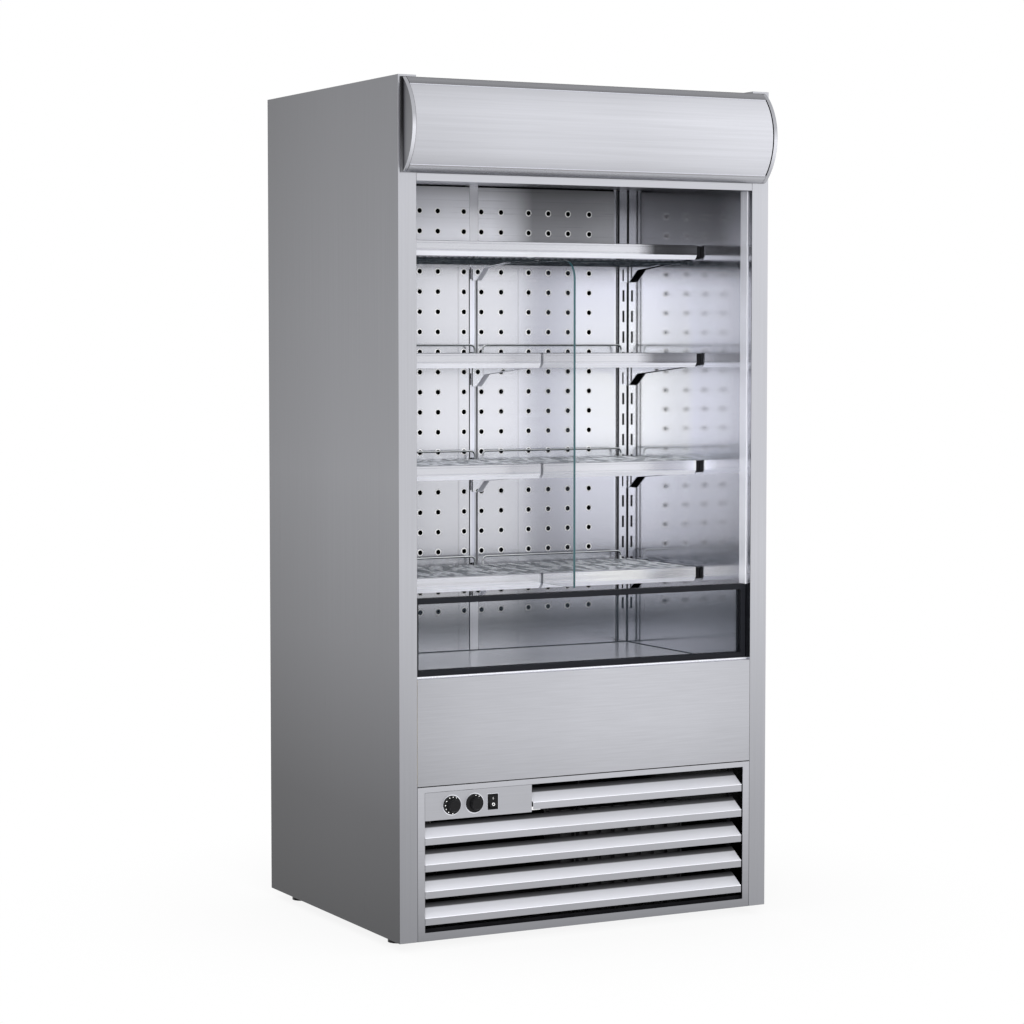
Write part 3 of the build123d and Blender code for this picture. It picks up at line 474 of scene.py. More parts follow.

# Painted highlight and shade: thin bright lines at 1.812 m and 2.01 m, and the rails darker towards the top.
rail_painted_tones = [
    (1.7, 0.36), (1.806, 0.4), (1.812, 0.5), (1.818, 0.3), (1.9, 0.3), (2.0, 0.2), (2.01, 0.26), (2.02, 0.2),
]
rail_metal = brushed("rail_metal", rail_painted_tones, grain_across, fine_across, 0.05, 0.25)
bead_metal = brushed("bead_metal", [(1.7, 0.88), (2.02, 0.88)], grain_across, fine_across, 0.02, 0.2)
bead_edge = edge - strip_wide / bow_radius
for name, way in (("lower", -1), ("upper", 1)):
    section = arc_strip(bow_radius, way * edge, way * half_bow, rail_thick)
    rail = drawn_bar(f"canopy_{name}_rail", section, rails_low.x, rails_high.x, False)
    rail_metal.cover(rounded_off(dress(rail, "canopy_rails"), 0.001))
    section = arc_strip(bow_radius - sheet_inset / 4, way * bead_edge, way * edge, sheet_thick, 2)
    bead = drawn_bar(f"canopy_{name}_bead", section, rails_low.x, rails_high.x - right_gap)
    bead_metal.cover(dress(bead, "canopy_rails"))

cap_arc = bow_points(bow_radius, -half_bow, half_bow, 56)
# Painted highlight and shade: a bright band across the middle of each cap's rim, and a darker copy of the
# steel on the caps' outer side faces.
cap_highlight_tones = [(1.7, 0.3), (1.82, 0.45), (1.87, 0.8), (1.9, 0.85), (1.93, 0.5), (1.99, 0.4), (2.02, 0.35)]
cap_highlight_metal = brushed("cap_highlight_metal", cap_highlight_tones, grain_up, fine_up, 0.04, 0.2)
cap_side_shade = brushed("cap_side_shade", [(1.7, 0.13), (1.85, 0.2), (2.02, 0.12)], grain_up, fine_up, 0.05, 0.3)
for name, start in (("canopy_cap_left", caps_low.x), ("canopy_cap_right", caps_high.x - cap_wide)):
    cap = dress(drawn_bar(name, cap_arc, start, start + cap_wide), "canopy_caps")
    cap_highlight_metal.cover(rounded_off(cap, 0.002, 3))
    cap_side_shade.cover(cap, chosen=lambda face: abs(face.normal.x) > 0.9)


def squared(y_low, z_low, y_high, z_high):
    """The section of a square-edged bar or plate."""
    return [(y_low, z_low), (y_low, z_high), (y_high, z_high), (y_high, z_low)]


plate_low, plate_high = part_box("canopy_back_plate")
section = squared(plate_low.y, plate_low.z, plate_high.y, plate_high.z)
plate = drawn_bar(
    "canopy_plate", section, plate_low.x + plate_left_gap, plate_high.x - plate_right_gap, False
)
# Painted shade: the back plate in the gap beside the caps darkens to near black towards the top.
plate_shade_tones = [(1.8, 0.16), (1.85, 0.08), (1.9, 0.02), (2.02, 0.008)]
plate_steel = brushed("plate_steel", plate_shade_tones, grain_up, fine_up, 0.05, 0.5, metallic=0.5)
plate_steel.cover(dress(plate, "canopy_back_plate"))


# Head of the opening: a pale folded angle across it, the batten lamp clipped behind its face, and the
# moulded honeycomb outlet under the ceiling sheet. The ceiling's colour darkens towards the right,
# as painted shade.

head_tones = [(1.7, 0.64), (1.81, 0.64)]
head_steel = brushed("head_steel", head_tones, grain_across, fine_across, 0.03)
head_steel.cover(softened("header_rail", 0.0006))
diffuser = Finish("lamp_diffuser", roughness=0.45)
diffuser.mottle((30, 900, 900), (0.82, 0.82, 0.8), (0.9, 0.9, 0.88), 1)
diffuser.cover(softened("lamp", 0.0006))
white_mould = Finish("white_mould", roughness=0.5)
white_mould.mottle((40, 40, 40), (0.5, 0.51, 0.52), (0.58, 0.59, 0.6))
white_mould.relief(white_mould.noise((1200, 1200, 1200), 2), 0.15, 0.0001)
white_mould.cover(softened("air_outlet", 0.0004))
ceiling_shade_spread = ("X", [(-0.45, 1.0), (-0.1, 1.0), (0.14, 0.5), (0.45, 0.35)])
ceiling_tones = [(1.7, 0.8), (1.85, 0.8)]
ceiling_steel = brushed(
    "ceiling_steel", ceiling_tones, grain_across, fine_across, 0.03, 0.3, 0.00001, spread=ceiling_shade_spread
)
ceiling_steel.cover(softened("ceiling_panel", 0.0003))


# Back panels: two perforated steel sheets, hung between the uprights. The punch left a small raised rim round
# each hole, coloured near white as painted highlight. The columns stand in a wide and narrow rhythm, and a
# fold line runs between two of them.

panels_low, panels_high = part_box("back_panels")
panel_start, panel_sheet = 0.0125, 0.001
hole_radius, rim_radius, rim_high = 0.0062, 0.0086, 0.0006
hole_sides = 16
row_pitch, row_count = 0.051, 21
top_row_down = 0.062
top_row = panels_high.z - top_row_down
columns = {-1: (0.029, 0.103, 0.154, 0.212, 0.270, 0.330), 1: (0.021, 0.078, 0.158, 0.216, 0.274, 0.337)}


def pierced_panel(name, side):
    """One sheet on the left (-1) or the right (1), with rimmed holes in rows."""
    places = columns[side]
    rows = [top_row - row_pitch * (row_count - 1 - j) for j in range(row_count)]
    x_edges = [panel_start, *[(a + b) / 2 for a, b in zip(places, places[1:])], panels_high.x]
    z_edges = [panels_low.z, *[z + row_pitch / 2 for z in rows[:-1]], panels_high.z]
    y = panels_low.y
    points, faces, corner = [], [], {}
    for j, z in enumerate(z_edges):
        for i, x in enumerate(x_edges):
            corner[i, j] = len(points)
            points.append((side * x, y, z))
    quarter = hole_sides // 4
    for i, x in enumerate(places):
        for j, z in enumerate(rows):
            rings = []
            for radius, lift in ((rim_radius, 0), (hole_radius, rim_high)):
                rings.append(len(points))
                for k in range(hole_sides):
                    angle = 2 * math.pi * k / hole_sides
                    across, up = radius * math.cos(angle), radius * math.sin(angle)
                    points.append((side * (x + across), y - lift, z + up))
            rim, mouth = rings
            for k in range(hole_sides):
                following = (k + 1) % hole_sides
                faces.append((rim + k, rim + following, mouth + following, mouth + k))
            box = [corner[i + 1, j + 1], corner[i, j + 1], corner[i, j], corner[i + 1, j]]
            for q in range(4):
                ring = [rim + (q * quarter + k) % hole_sides for k in range(quarter + 1)]
                for a, b in zip(ring, ring[1:]):
                    faces.append((box[q], a, b))
                faces.append((box[q], box[q - 1], ring[0]))
    sheet = mesh_piece(name, points, faces)
    if sheet.data.polygons[0].normal.y > 0:
        sheet.data.flip_normals()
    return dress(sheet, "back_panels")


def thickened(piece, thickness, inner):
    """Gives a sheet its thickness behind it. The back and the cut edges take the inner finish."""
    inner.cover(piece, chosen=lambda face: False)
    sheet = piece.modifiers.new("sheet", "SOLIDIFY")
    sheet.thickness, sheet.offset = thickness, -1
    sheet.material_offset = sheet.material_offset_rim = len(piece.data.materials)


# Painted light and shade: the sheets are palest across the middle tiers and darker low down and on the left.
back_shade_tones = [
    (0.62, 0.6), (0.64, 0.5), (0.69, 0.34), (0.76, 0.55), (0.83, 0.62), (0.9, 0.72), (1.05, 0.8),
    (1.09, 0.97), (1.33, 0.99), (1.37, 0.9), (1.5, 0.92), (1.62, 0.95), (1.67, 0.9),
]
# A fold at the left of the middle, drawn as painted shade along its crease, and a seam at the right of it,
# as places along X and factors.
folds = [(-0.048, 0.84), (-0.045, 0.68), (-0.041, 0.85), (0.125, 0.92), (0.128, 0.78), (0.131, 0.94)]
back_shade_spread = ("X", [(-0.41, 0.8), *folds, (0.25, 0.97), (0.41, 1.0)])
back_steel = brushed(
    "back_steel", back_shade_tones, grain_across, fine_across, 0.012, 0.2, 0.000003, 0.9, back_shade_spread
)
# Painted shade: the bay under the ceiling darkens upwards and has a dark zone right of the middle.
bay_shade_tones = [(1.66, 0.98), (1.7, 0.94), (1.78, 0.66), (1.81, 0.35)]
bay_shade_spread = ("X", [(-0.41, 0.8), (0.05, 1.0), (0.12, 0.7), (0.17, 0.3), (0.3, 0.34), (0.41, 0.45)])
top_bay_shade = brushed(
    "top_bay_painted_shade", bay_shade_tones, grain_across, fine_across, 0.03, 0.3, 0.000003, 0.15, bay_shade_spread
)
# Painted highlight and shade: the rims are near white, and rim_shade darkens them towards the bottom.
rim_highlight = Finish("rim_highlight", roughness=0.4, metallic=0.1)
rim_tint = rim_highlight.mix(rim_highlight.noise((200, 200, 200), 1), (0.95, 0.95, 0.96), (1.0, 1.0, 1.0))
rim_shade = rim_highlight.graded("Z", [(0.62, 0.35), (0.82, 0.5), (0.9, 0.95), (1.66, 1.0), (1.8, 0.8)])
rim_highlight.vary(base_color=rim_highlight.vectors("MULTIPLY", rim_tint, rim_shade))
for name, side in (("back_panel_left", -1), ("back_panel_right", 1)):
    panel = pierced_panel(name, side)
    back_steel.cover(panel)
    top_bay_shade.cover(panel, chosen=lambda face: face.center.z > top_row - 1.5 * row_pitch)
    rim_highlight.cover(panel, chosen=lambda face: 0.1 < abs(face.normal.x) + abs(face.normal.z))
    # The sheet's back and the walls of its holes are near black as painted shade, so the holes look dark.
    thickened(panel, panel_sheet, shade_black)


# Uprights: folded steel strips, screwed to the back at both sides and in the middle. Their pairs of punched
# slots take the hooks of the shelf brackets.

# Painted light and shade: the strips are palest across the middle tiers and darker low down and at the top.
# The middle strip takes a less metallic copy, which shows paler in the lamp's light: painted light.
upright_shade_tones = [
    (0.62, 0.5), (0.7, 0.5), (0.8, 0.65), (0.9, 0.8), (1.08, 0.9), (1.12, 0.97), (1.5, 0.97), (1.62, 0.9),
    (1.66, 0.6), (1.8, 0.5),
]
upright_steel = brushed("upright_steel", upright_shade_tones, grain_up, fine_up, 0.02, 0.15, 0.000004, 0.85)
upright_strips = softened("uprights", 0.0006)
upright_steel.cover(upright_strips)
middle_strip = 0.02
middle_shade_tones = [(0.62, 0.5), (0.8, 0.6), (0.9, 0.75), (1.08, 0.88), (1.62, 0.92), (1.68, 0.72), (1.8, 0.6)]
middle_lit_steel = brushed("middle_lit_steel", middle_shade_tones, grain_up, fine_up, 0.02, 0.15, 0.000004, 0.4)
middle_lit_steel.cover(upright_strips, chosen=lambda face: abs(face.center.x) < middle_strip)


# Shadow gaps: a thin black strip fills the gap beside each upright and along every corner of the well,
# as painted shade. It is drawn along the joint and lies flat.

gap_shade_black = Finish("gap_shade_black", roughness=0.6, specular_ior_level=0.2)
gap_shade_black.mottle((90, 90, 90), (0.006, 0.007, 0.009), (0.02, 0.021, 0.024))


def seam(name, low, high):
    """A straight black strip of painted shade between two corners of its box."""
    bead = drawn_bar(name, squared(*low[1:], *high[1:]), low[0], high[0], False)
    gap_shade_black.cover(bead)
    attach(bead, "cabinet")


back_plane = panels_low.y
well_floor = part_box("deck_plates")[1].z
well_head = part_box("ceiling_panel")[0].z
wall_inside = 0.4535
bead_front = -0.3
strip_inside = 0.4228
strip_bead, flat_bead, corner_bead, floor_bead = 0.0042, 0.0003, 0.002, 0.0016
middle_bead_low, middle_bead_high = -0.0145, -0.0118
middle_bead_top = 1.6
bead_face = back_plane - flat_bead
corner_face = back_plane - corner_bead
for side in (-1, 1):
    near, far = sorted((side * strip_inside, side * (strip_inside + strip_bead)))
    seam(f"upright_seam_{side + 2}", (near, bead_face, well_floor), (far, back_plane, well_head))
    near, far = sorted((side * (wall_inside - corner_bead), side * wall_inside))
    seam(f"corner_seam_{side + 2}", (near, corner_face, well_floor), (far, back_plane, well_head))
    seam(f"wall_seam_{side + 2}", (near, bead_front, well_floor), (far, corner_face, well_floor + floor_bead))
floor_end = wall_inside - corner_bead
seam("floor_seam", (-floor_end, corner_face, well_floor), (floor_end, back_plane, well_floor + corner_bead))
seam("middle_seam", (middle_bead_low, bead_face, well_floor), (middle_bead_high, back_plane, middle_bead_top))


# Shelves: a folded front rail, a grid of round plated wires on cross rods with a bent fence, and brackets cut
# from plate, which hook into the uprights. A rail's face has two fine grooves, its lower lip slants back, and
# black stops close its outer ends. The top grid hangs a little under its rail.

shelf_count = 4
wire_radius, cross_radius, fence_radius = 0.002, 0.0025, 0.0025
wire_sides = 10
fence_bend, fence_high = 0.012, 0.022
first_wire, wire_pitch, last_wire_in = 0.0115, 0.0185, 0.0045
rod_count, rod_start, rod_in = 4, 0.007, 0.009
top_grid_drop = 0.038
half_gap, plug_thick = 0.00305, 0.001
stop_front, stop_rear = 0.002, 0.022
stop_head, stop_foot = 0.002, 0.030
stop_gap, stop_end = 0.0006, 0.4532
middle_brackets, side_brackets = 0.1, 0.4
# Y back from the rail's face and Z from the shelf's level.
rail_profile = [
    (0.016, 0), (0.001, 0), (0, -0.001), (0, -0.0046), (0.0008, -0.005), (0.0008, -0.0058), (0, -0.0062),
    (0, -0.0206), (0.0006, -0.021), (0.0006, -0.0216), (0, -0.022), (0, -0.025), (0.009, -0.036),
    (0.0102, -0.0351), (0.0015, -0.0245), (0.0015, -0.0015), (0.016, -0.0015),
]
lip_face = 11
plug_profile = [rail_profile[k] for k in (0, 1, 2, 3, 6, 7, 10, 11, 12, 13)]


def tube(points, radius, across):
    """Points and faces of a round wire along a path that lies in the plane square to one direction."""
    ring_points, ring_faces = [], []
    for i, p in enumerate(points):
        way = (points[min(i + 1, len(points) - 1)] - points[max(i - 1, 0)]).normalized()
        beside = way.cross(across)
        for k in range(wire_sides):
            angle = 2 * math.pi * k / wire_sides
            ring_points.append(p + radius * (math.cos(angle) * across + math.sin(angle) * beside))
    for i in range(len(points) - 1):
        a, b = i * wire_sides, (i + 1) * wire_sides
        for k in range(wire_sides):
            n = (k + 1) % wire_sides
            ring_faces.append((a + k, a + n, b + n, b + k))
    last = (len(points) - 1) * wire_sides
    ring_faces.append(tuple(range(wire_sides)))
    ring_faces.append(tuple(range(last, last + wire_sides)))
    return ring_points, ring_faces


def bent(points, radius, steps=6):
    """A path with its inner corners rounded."""
    path = [points[0]]
    for before, corner, after in zip(points, points[1:], points[2:]):
        start = corner + (before - corner).normalized() * radius
        end = corner + (after - corner).normalized() * radius
        for i in range(steps + 1):
            t = i / steps
            path.append(start * (1 - t) ** 2 + corner * 2 * t * (1 - t) + end * t**2)
    return [*path, points[-1]]


def plated(name, glints, low, high, cells=(42, 15, 1)):
    """Plated wire, its upper side painted bright and its underside nearly black, as light and shade.

    The dark side ends between two levels. Short stretches are painted brighter as glints, the rest darker.
    """
    wire = Finish(name, metallic=0.7)
    tarnish = wire.noise((60, 60, 60), 2)
    upward = wire.add("SeparateXYZ", inputs={0: wire.add("NewGeometry", output="Normal")}).output("Z")
    share = wire.noise(cells, 1).over(0.5, 0.07) * glints + (1 - glints)
    lit = wire.mix(share, (0.07, 0.095, 0.11), (0.95, 0.98, 1.0))
    wire.vary(base_color=wire.mix(upward.over(low, high), (0.02, 0.028, 0.036), lit))
    return wire.vary(roughness=tarnish * 0.1 + 0.15)


# Each rail's tone, painted lighter on the lower shelves, and the factor by which it is painted darker
# towards its right end: painted light and shade.
rail_painted_tones = {1: (0.65, 0.13), 2: (0.66, 0.44), 3: (0.68, 1.0), 4: (0.9, 1.05)}
# Painted highlight: the slanted lower lip and the plug take a brighter, less metallic copy of the rail steel.
lip_tones = [(0.8, 0.97), (1.68, 0.97)]
lip_highlight = brushed("shelf_lip_highlight", lip_tones, grain_across, fine_across, 0.02, 0.3, metallic=0.4)
# Painted light and shade on all wires; the deck and top wires also carry painted glints.
deck_wire = plated("deck_wire", 0.65, -0.35, 0.25)
fence_wire = plated("fence_wire", 0.0, 0.05, 0.3)
top_wire = plated("top_wire", 0.9, -0.9, -0.2, (64, 3, 1))
stop_black = Finish("stop_black", roughness=0.5, specular_ior_level=0.2)
stop_black.mottle((900, 900, 900), (0.003, 0.003, 0.004), (0.01, 0.01, 0.012))
# Painted shade: the brackets darken low down and at the top.
bracket_shade_tones = [(0.7, 0.7), (0.9, 0.9), (1.1, 0.97), (1.62, 0.95), (1.66, 0.8)]
bracket_steel = brushed("bracket_steel", bracket_shade_tones, grain_across, fine_across, 0.02, 0.08, 0.000003, 0.95)
mirror_tones = [(0.7, 1.0), (1.66, 1.0)]
bracket_painted_light = brushed("bracket_painted_light", mirror_tones, grain_across, fine_across, 0.02, 0.3, 0.000003, 0.0)
mirror_bracket = brushed("mirror_bracket", mirror_tones, grain_across, fine_across, 0.0, 0.06, 0.000001)


def shelf_brackets(number):
    """Plate brackets. The middle ones are painted pale as light, and the left one's left face is polished and
    mirrors the back. Faces towards the side walls are near black as painted shade.
    """
    brackets = softened(f"shelf_brackets_{number}", 0.0005)
    bracket_steel.cover(brackets)
    bracket_painted_light.cover(brackets, chosen=lambda face: abs(face.center.x) < middle_brackets)
    mirror_bracket.cover(
        brackets, chosen=lambda face: -middle_brackets < face.center.x < 0 and face.normal.x < -0.9
    )
    shade_black.cover(brackets, chosen=lambda face: face.normal.x * face.center.x > side_brackets / 2)


def rail_bar(name, number, profile, start, end):
    """A piece of a shelf's front rail, between two places along X."""
    low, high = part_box(f"shelf_rail_{number}")
    section = [(low.y + y, high.z + z) for y, z in profile]
    return dress(drawn_bar(name, section, *sorted((start, end)), False), f"shelf_rail_{number}")


def shelf_rail(number):
    """A front rail in two halves. The right half's inner end is plugged where a gap is left between them."""
    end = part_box(f"shelf_rail_{number}")[1].x
    gap = 0.0 if number == 1 else half_gap
    tone, right_shade = rail_painted_tones[number]
    tones = [(0.8, tone), (1.68, tone)]
    # Painted light and shade along the rail: brighter right of the middle, darker towards the right end.
    spread = [(-0.45, 0.95), (0.0, 1.0), (0.2, 1.12), (0.27, 1.12)]
    spread = ("X", [*spread, (0.32, right_shade), (0.4, right_shade * 1.1), (0.442, right_shade * 1.5)])
    name = f"shelf_rail_steel_{number}"
    rail_steel = brushed(name, tones, grain_across, fine_across, 0.03, 0.24, 0.00001, 0.9, spread)
    for side in (-1, 1):
        rail = rail_bar(f"shelf_rail_{number}_{side + 2}", number, rail_profile, side * gap, side * end)
        rail_steel.cover(rail)
        lip_highlight.cover(rail, chosen=lambda face: face.index == lip_face)
        # The rail's outer end faces are near black as painted shade.
        shade_black.cover(rail, chosen=lambda face: face.normal.x * side > 0.9)
    if gap:
        lip_highlight.cover(rail_bar(f"shelf_plug_{number}", number, plug_profile, gap, gap + plug_thick))


def shelf_grid(number):
    """The wires of one shelf: front to back on cross rods, with a bent fence at the rear of each half."""
    low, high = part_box(f"shelf_grid_{number}")
    drop = top_grid_drop if number == 1 else 0
    level = high.z - fence_high - drop
    rod_level = level - 2 * wire_radius - cross_radius
    last = high.x - last_wire_in
    steps = round((last - first_wire) / wire_pitch)
    places = [first_wire + (last - first_wire) * i / steps for i in range(steps + 1)]
    back_y = high.y - 2 * fence_radius
    foot, crest = low.z - drop, high.z - drop - fence_radius
    near, far = places[0], places[-2]
    wires = []
    for side in (-1, 1):
        for x in places:
            ends = [Vector((side * x, y, level - wire_radius)) for y in (low.y, back_y)]
            wires.append(tube(ends, wire_radius, Vector((1, 0, 0))))
        for i in range(rod_count):
            y = low.y + rod_in + (back_y - low.y - 2 * rod_in) * i / (rod_count - 1)
            ends = [Vector((side * x, y, rod_level)) for x in (rod_start, high.x)]
            wires.append(tube(ends, cross_radius, Vector((0, 1, 0))))
        fence = [(near, foot), (near, crest), (far, crest), (far, foot)]
        fence = [Vector((side * x, high.y - fence_radius, z)) for x, z in fence]
        wires.append(tube(bent(fence, fence_bend), fence_radius, Vector((0, 1, 0))))
    points, faces = [], []
    for wire_points, wire_faces in wires:
        faces += [tuple(len(points) + k for k in face) for face in wire_faces]
        points += wire_points
    grid = dress(mesh_piece(f"shelf_wires_{number}", points, faces, True), f"shelf_grid_{number}")
    (top_wire if number == 1 else deck_wire).cover(grid)
    fence_wire.cover(grid, chosen=lambda face: face.center.z > level + wire_radius / 2)


def rail_stops(number):
    """The black stops at a rail's outer ends, which sit on the side brackets."""
    low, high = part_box(f"shelf_rail_{number}")
    section = squared(low.y + stop_front, high.z - stop_foot, low.y + stop_rear, high.z - stop_head)
    for side in (-1, 1):
        ends = sorted((side * (high.x + stop_gap), side * stop_end))
        stop = drawn_bar(f"shelf_stop_{number}_{side + 2}", section, *ends, False)
        stop_black.cover(dress(stop, f"shelf_brackets_{number}"))


for number in range(1, shelf_count + 1):
    shelf_brackets(number)
    shelf_rail(number)
    shelf_grid(number)
    rail_stops(number)


# Glass: one upright pane between the halves, held by a folded steel channel at its rear. Its polished edges
# look deep teal, light passes through its face, and its front part is darkened as painted shade and
# reflection.

pane = Finish("pane_glass", base_color=(0.5, 0.62, 0.78), metallic=1.0, roughness=0.02)
rim_light = pane.add("Fresnel", {}, {"IOR": 1.45})
pane.vary(alpha=rim_light * 0.3 + 0.01)
# Painted shade and reflection: the pane's front part lets less through and shows dark grey.
darkened_glass = Finish("glass_painted_shade", base_color=(0.16, 0.17, 0.2), metallic=1.0, roughness=0.02)
front_part = 1 - darkened_glass.along("Y").over(-0.07, 0.08)
darkened_glass.vary(alpha=front_part * 0.12 + 0.02)
edge_glass = Finish("edge_glass", roughness=0.1)
edge_glass.mottle((300, 300, 6), (0.008, 0.03, 0.038), (0.04, 0.11, 0.125))
divider = softened("glass_divider", 0.0006)
darkened_glass.cover(divider)
edge_glass.cover(divider, chosen=lambda face: abs(face.normal.x) < 0.5)
# Painted light and shade: the channel darkens towards the bottom; its right lip's inner face takes the paler
# middle copy.
channel_shade_tones = [(0.8, 0.8), (1.1, 0.97), (1.6, 0.97)]
channel_steel = brushed("channel_steel", channel_shade_tones, grain_up, fine_up, 0.02, 0.08, 0.000003)
channel = softened("divider_channel", 0.0004)
channel_steel.cover(channel)
middle_lit_steel.cover(channel, chosen=lambda face: face.normal.x < -0.5 and face.center.x > 0)


# Riser: a clear pane in a dark extruded frame, which stands on a bright base trim. Slim bright strips line
# the jambs of the opening above it.

riser_frame = Finish("charcoal_frame", roughness=0.5, specular_ior_level=0.12)
riser_frame.mottle((8, 500, 500), (0.006, 0.0065, 0.009), (0.014, 0.015, 0.019))
riser_frame.cover(softened("riser_frame", 0.0012))
pane.cover(softened("riser_glass", 0.0006))
# Painted shade: the trims darken towards the top and at their foot.
trim_shade_tones = [(0.6, 0.85), (0.66, 1.0), (1.0, 1.0), (1.7, 0.75)]
trim_steel = brushed("trim_steel", trim_shade_tones, grain_up, fine_up, 0.05, 0.25, metallic=0.5)
trim_steel.cover(softened("opening_trims", 0.0006))


# Deck: two lift-out steel plates over the well, butted in the middle, and the slotted return grille in front
# of them. Both are brushed and a little shiny.

deck_tones = [(0.55, 0.98), (0.63, 0.98)]
deck_steel = brushed("deck_steel", deck_tones, grain_across, fine_across, 0.02, 0.22, 0.000003, 0.5)
for node in ("deck_plates", "return_grille"):
    deck_steel.cover(softened(node, 0.0005))


# Fascia: the pale front panel under the riser, one stainless sheet brushed across. Its edges are folded back
# and hook over the base, and the fold along its top shines.

# Painted light and shade: the fascia darkens towards the bottom and the left, and a little at the right end.
fascia_shade_tones = [(0.3, 0.5), (0.4, 0.53), (0.5, 0.6), (0.64, 0.62)]
fascia_shade_spread = ("X", [(-0.45, 0.8), (-0.3, 0.9), (0.0, 1.0), (0.25, 1.0), (0.45, 0.93)])
fascia_grain = (9, 260, 260)
fascia_steel = brushed(
    "fascia_steel", fascia_shade_tones, fascia_grain, fine_across, 0.09, 0.36, spread=fascia_shade_spread
)
fascia_steel.cover(softened("front_fascia", 0.0008))


# Base grille: a frame with a large window, dark stays behind it, and slanted blades fixed to the stays. Each
# blade is a folded sheet with an upright nose. A thin strip along each fold is painted bright, as highlight.

blade_count = 5
first_fold, blade_pitch = 0.075, 0.0627
short_blade_start = -0.149
lit_deep, shade_deep = 0.029, 0.032
# Y back from a blade's nose and Z from its fold.
fold_profile = [(0, -0.0002), (0.0004, 0.0003), (0.0014, 0.0011), (0.0014, -0.0002)]
# Painted shade: the frame darkens towards the bottom.
grille_shade_tones = [(0.02, 0.27), (0.06, 0.33), (0.3, 0.52), (0.4, 0.56)]
grille_steel = brushed("grille_steel", grille_shade_tones, grain_across, fine_across, 0.05)
grille_steel.cover(softened("grille_frame", 0.0006))
blades_low, blades_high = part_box("louvre_blades")
nose = blades_low.y
# Painted light and shadow: a blade's top is lit back to lit_deep behind its nose, and from shade_deep on it
# is painted in the shadow of the blade above.
blade_shade_spread = ("Y", [(nose, 1.0), (nose + lit_deep, 0.92), (nose + shade_deep, 0.14), (blades_high.y, 0.02)])
blade_tones = [(0.05, 0.84), (0.4, 0.74)]
blade_steel = brushed(
    "blade_steel", blade_tones, grain_across, fine_across, 0.03, 0.5, metallic=0.15, spread=blade_shade_spread
)
# Painted shade: the noses take a darker copy of the steel, darker towards the bottom.
nose_shade = brushed("nose_shade", [(0.03, 0.38), (0.2, 0.44), (0.33, 0.52)], grain_across, fine_across, 0.05)
blades = softened("louvre_blades", 0.0008)
blade_steel.cover(blades)
nose_shade.cover(blades, chosen=lambda face: face.normal.y < -0.9)
# The blades' undersides are near black as painted shade.
shade_black.cover(blades, chosen=lambda face: face.normal.z < -0.5)
# Painted highlight: a bright strip along each blade's fold.
fold_highlight_tones = [(0.03, 0.97), (0.4, 0.97)]
fold_highlight = brushed("fold_highlight", fold_highlight_tones, grain_across, fine_across, 0.02, 0.4, metallic=0.1)
for number in range(1, blade_count + 1):
    z = first_fold + blade_pitch * (number - 1)
    start = blades_low.x if number < blade_count else short_blade_start
    section = [(nose + back, z + up) for back, up in fold_profile]
    fold = drawn_bar(f"louvre_fold_{number}", section, start, blades_high.x, False)
    fold_highlight.cover(dress(fold, "louvre_blades"))
# The stays are black, and this also stands for the shade behind the blades.
shade_black.cover(softened("louvre_stays", 0.0004))


# Controls: a brushed panel with two black moulded knobs, pressed on their spindles, and a rocker switch.
# Printed dots round a knob's skirt are its scale. A bright ring lines each control on the panel.

skirt_radius, grip_radius = 0.022, 0.0145
skirt_down = 0.014
grip_ribs, rib_deep = 16, 0.0007
dot_radius, dot_proud, dot_sunk = 0.0012, 0.0002, 0.0006
dot_reach = (grip_radius + skirt_radius) / 2 + 0.001
dot_angles = {"thermostat_knob": (-28, -2, 26, 58, 88, 116, 144, 178), "defrost_knob": (-2, -30)}
ring_gap, ring_wide, ring_thick = 0.0004, 0.0018, 0.0005
switch_half_x, switch_half_z, switch_ring = 0.0136, 0.018, 0.0012
mark_in, mark_up, mark_thick = 0.0043, 0.0075, 0.0002
line_half_x, line_half_z = 0.0005, 0.0021
zero_outer, zero_inner, zero_thick = 0.0038, 0.0024, 0.0003
panel_steel = brushed("panel_steel", [(0.25, 0.47), (0.4, 0.5)], grain_across, fine_across, 0.05)
panel_steel.cover(softened("control_panel", 0.0006))
black_mould = Finish("black_mould", roughness=0.4, specular_ior_level=0.2)
grit = black_mould.mottle((1500, 1500, 1500), (0.002, 0.002, 0.0025), (0.008, 0.008, 0.009))
black_mould.relief(grit, 0.25, 0.0001)
black_mould.cover(softened("control_bodies", 0.0006))
print_white = Finish("print_white", roughness=0.5)
print_white.mottle((2000, 2000, 2000), (0.8, 0.8, 0.8), (0.92, 0.92, 0.92), 1)
ring_steel = brushed("ring_steel", [(0.25, 0.9), (0.4, 0.9)], grain_across, fine_across, 0.02, 0.2)


def turned(name, profile, centre, sides=64, ribs=0, rib_deep=0.0, rib_stretch=(0, 0)):
    """A round piece turned about a Y axis. The profile has pairs of a radius and a Y, from front to back."""
    points, faces = [], []
    for i, (radius, y) in enumerate(profile):
        ribbed = rib_stretch[0] <= i < rib_stretch[1]
        for k in range(sides):
            angle = 2 * math.pi * k / sides
            reach = radius - (rib_deep * (0.5 - 0.5 * math.cos(ribs * angle)) if ribbed else 0)
            points.append((centre.x + reach * math.cos(angle), y, centre.z + reach * math.sin(angle)))
    for i in range(len(profile) - 1):
        for k in range(sides):
            n = (k + 1) % sides
            a, b = i * sides, (i + 1) * sides
            faces.append((a + k, a + n, b + n, b + k))
    last = (len(profile) - 1) * sides
    return mesh_piece(name, points, [*faces, tuple(range(sides)), tuple(range(last, last + sides))], True)


def circle(x, z, radius, sides=40):
    """The outline of a round mark or ring."""
    angles = [2 * math.pi * k / sides for k in range(sides)]
    return [(x + radius * math.cos(a), z + radius * math.sin(a)) for a in angles]


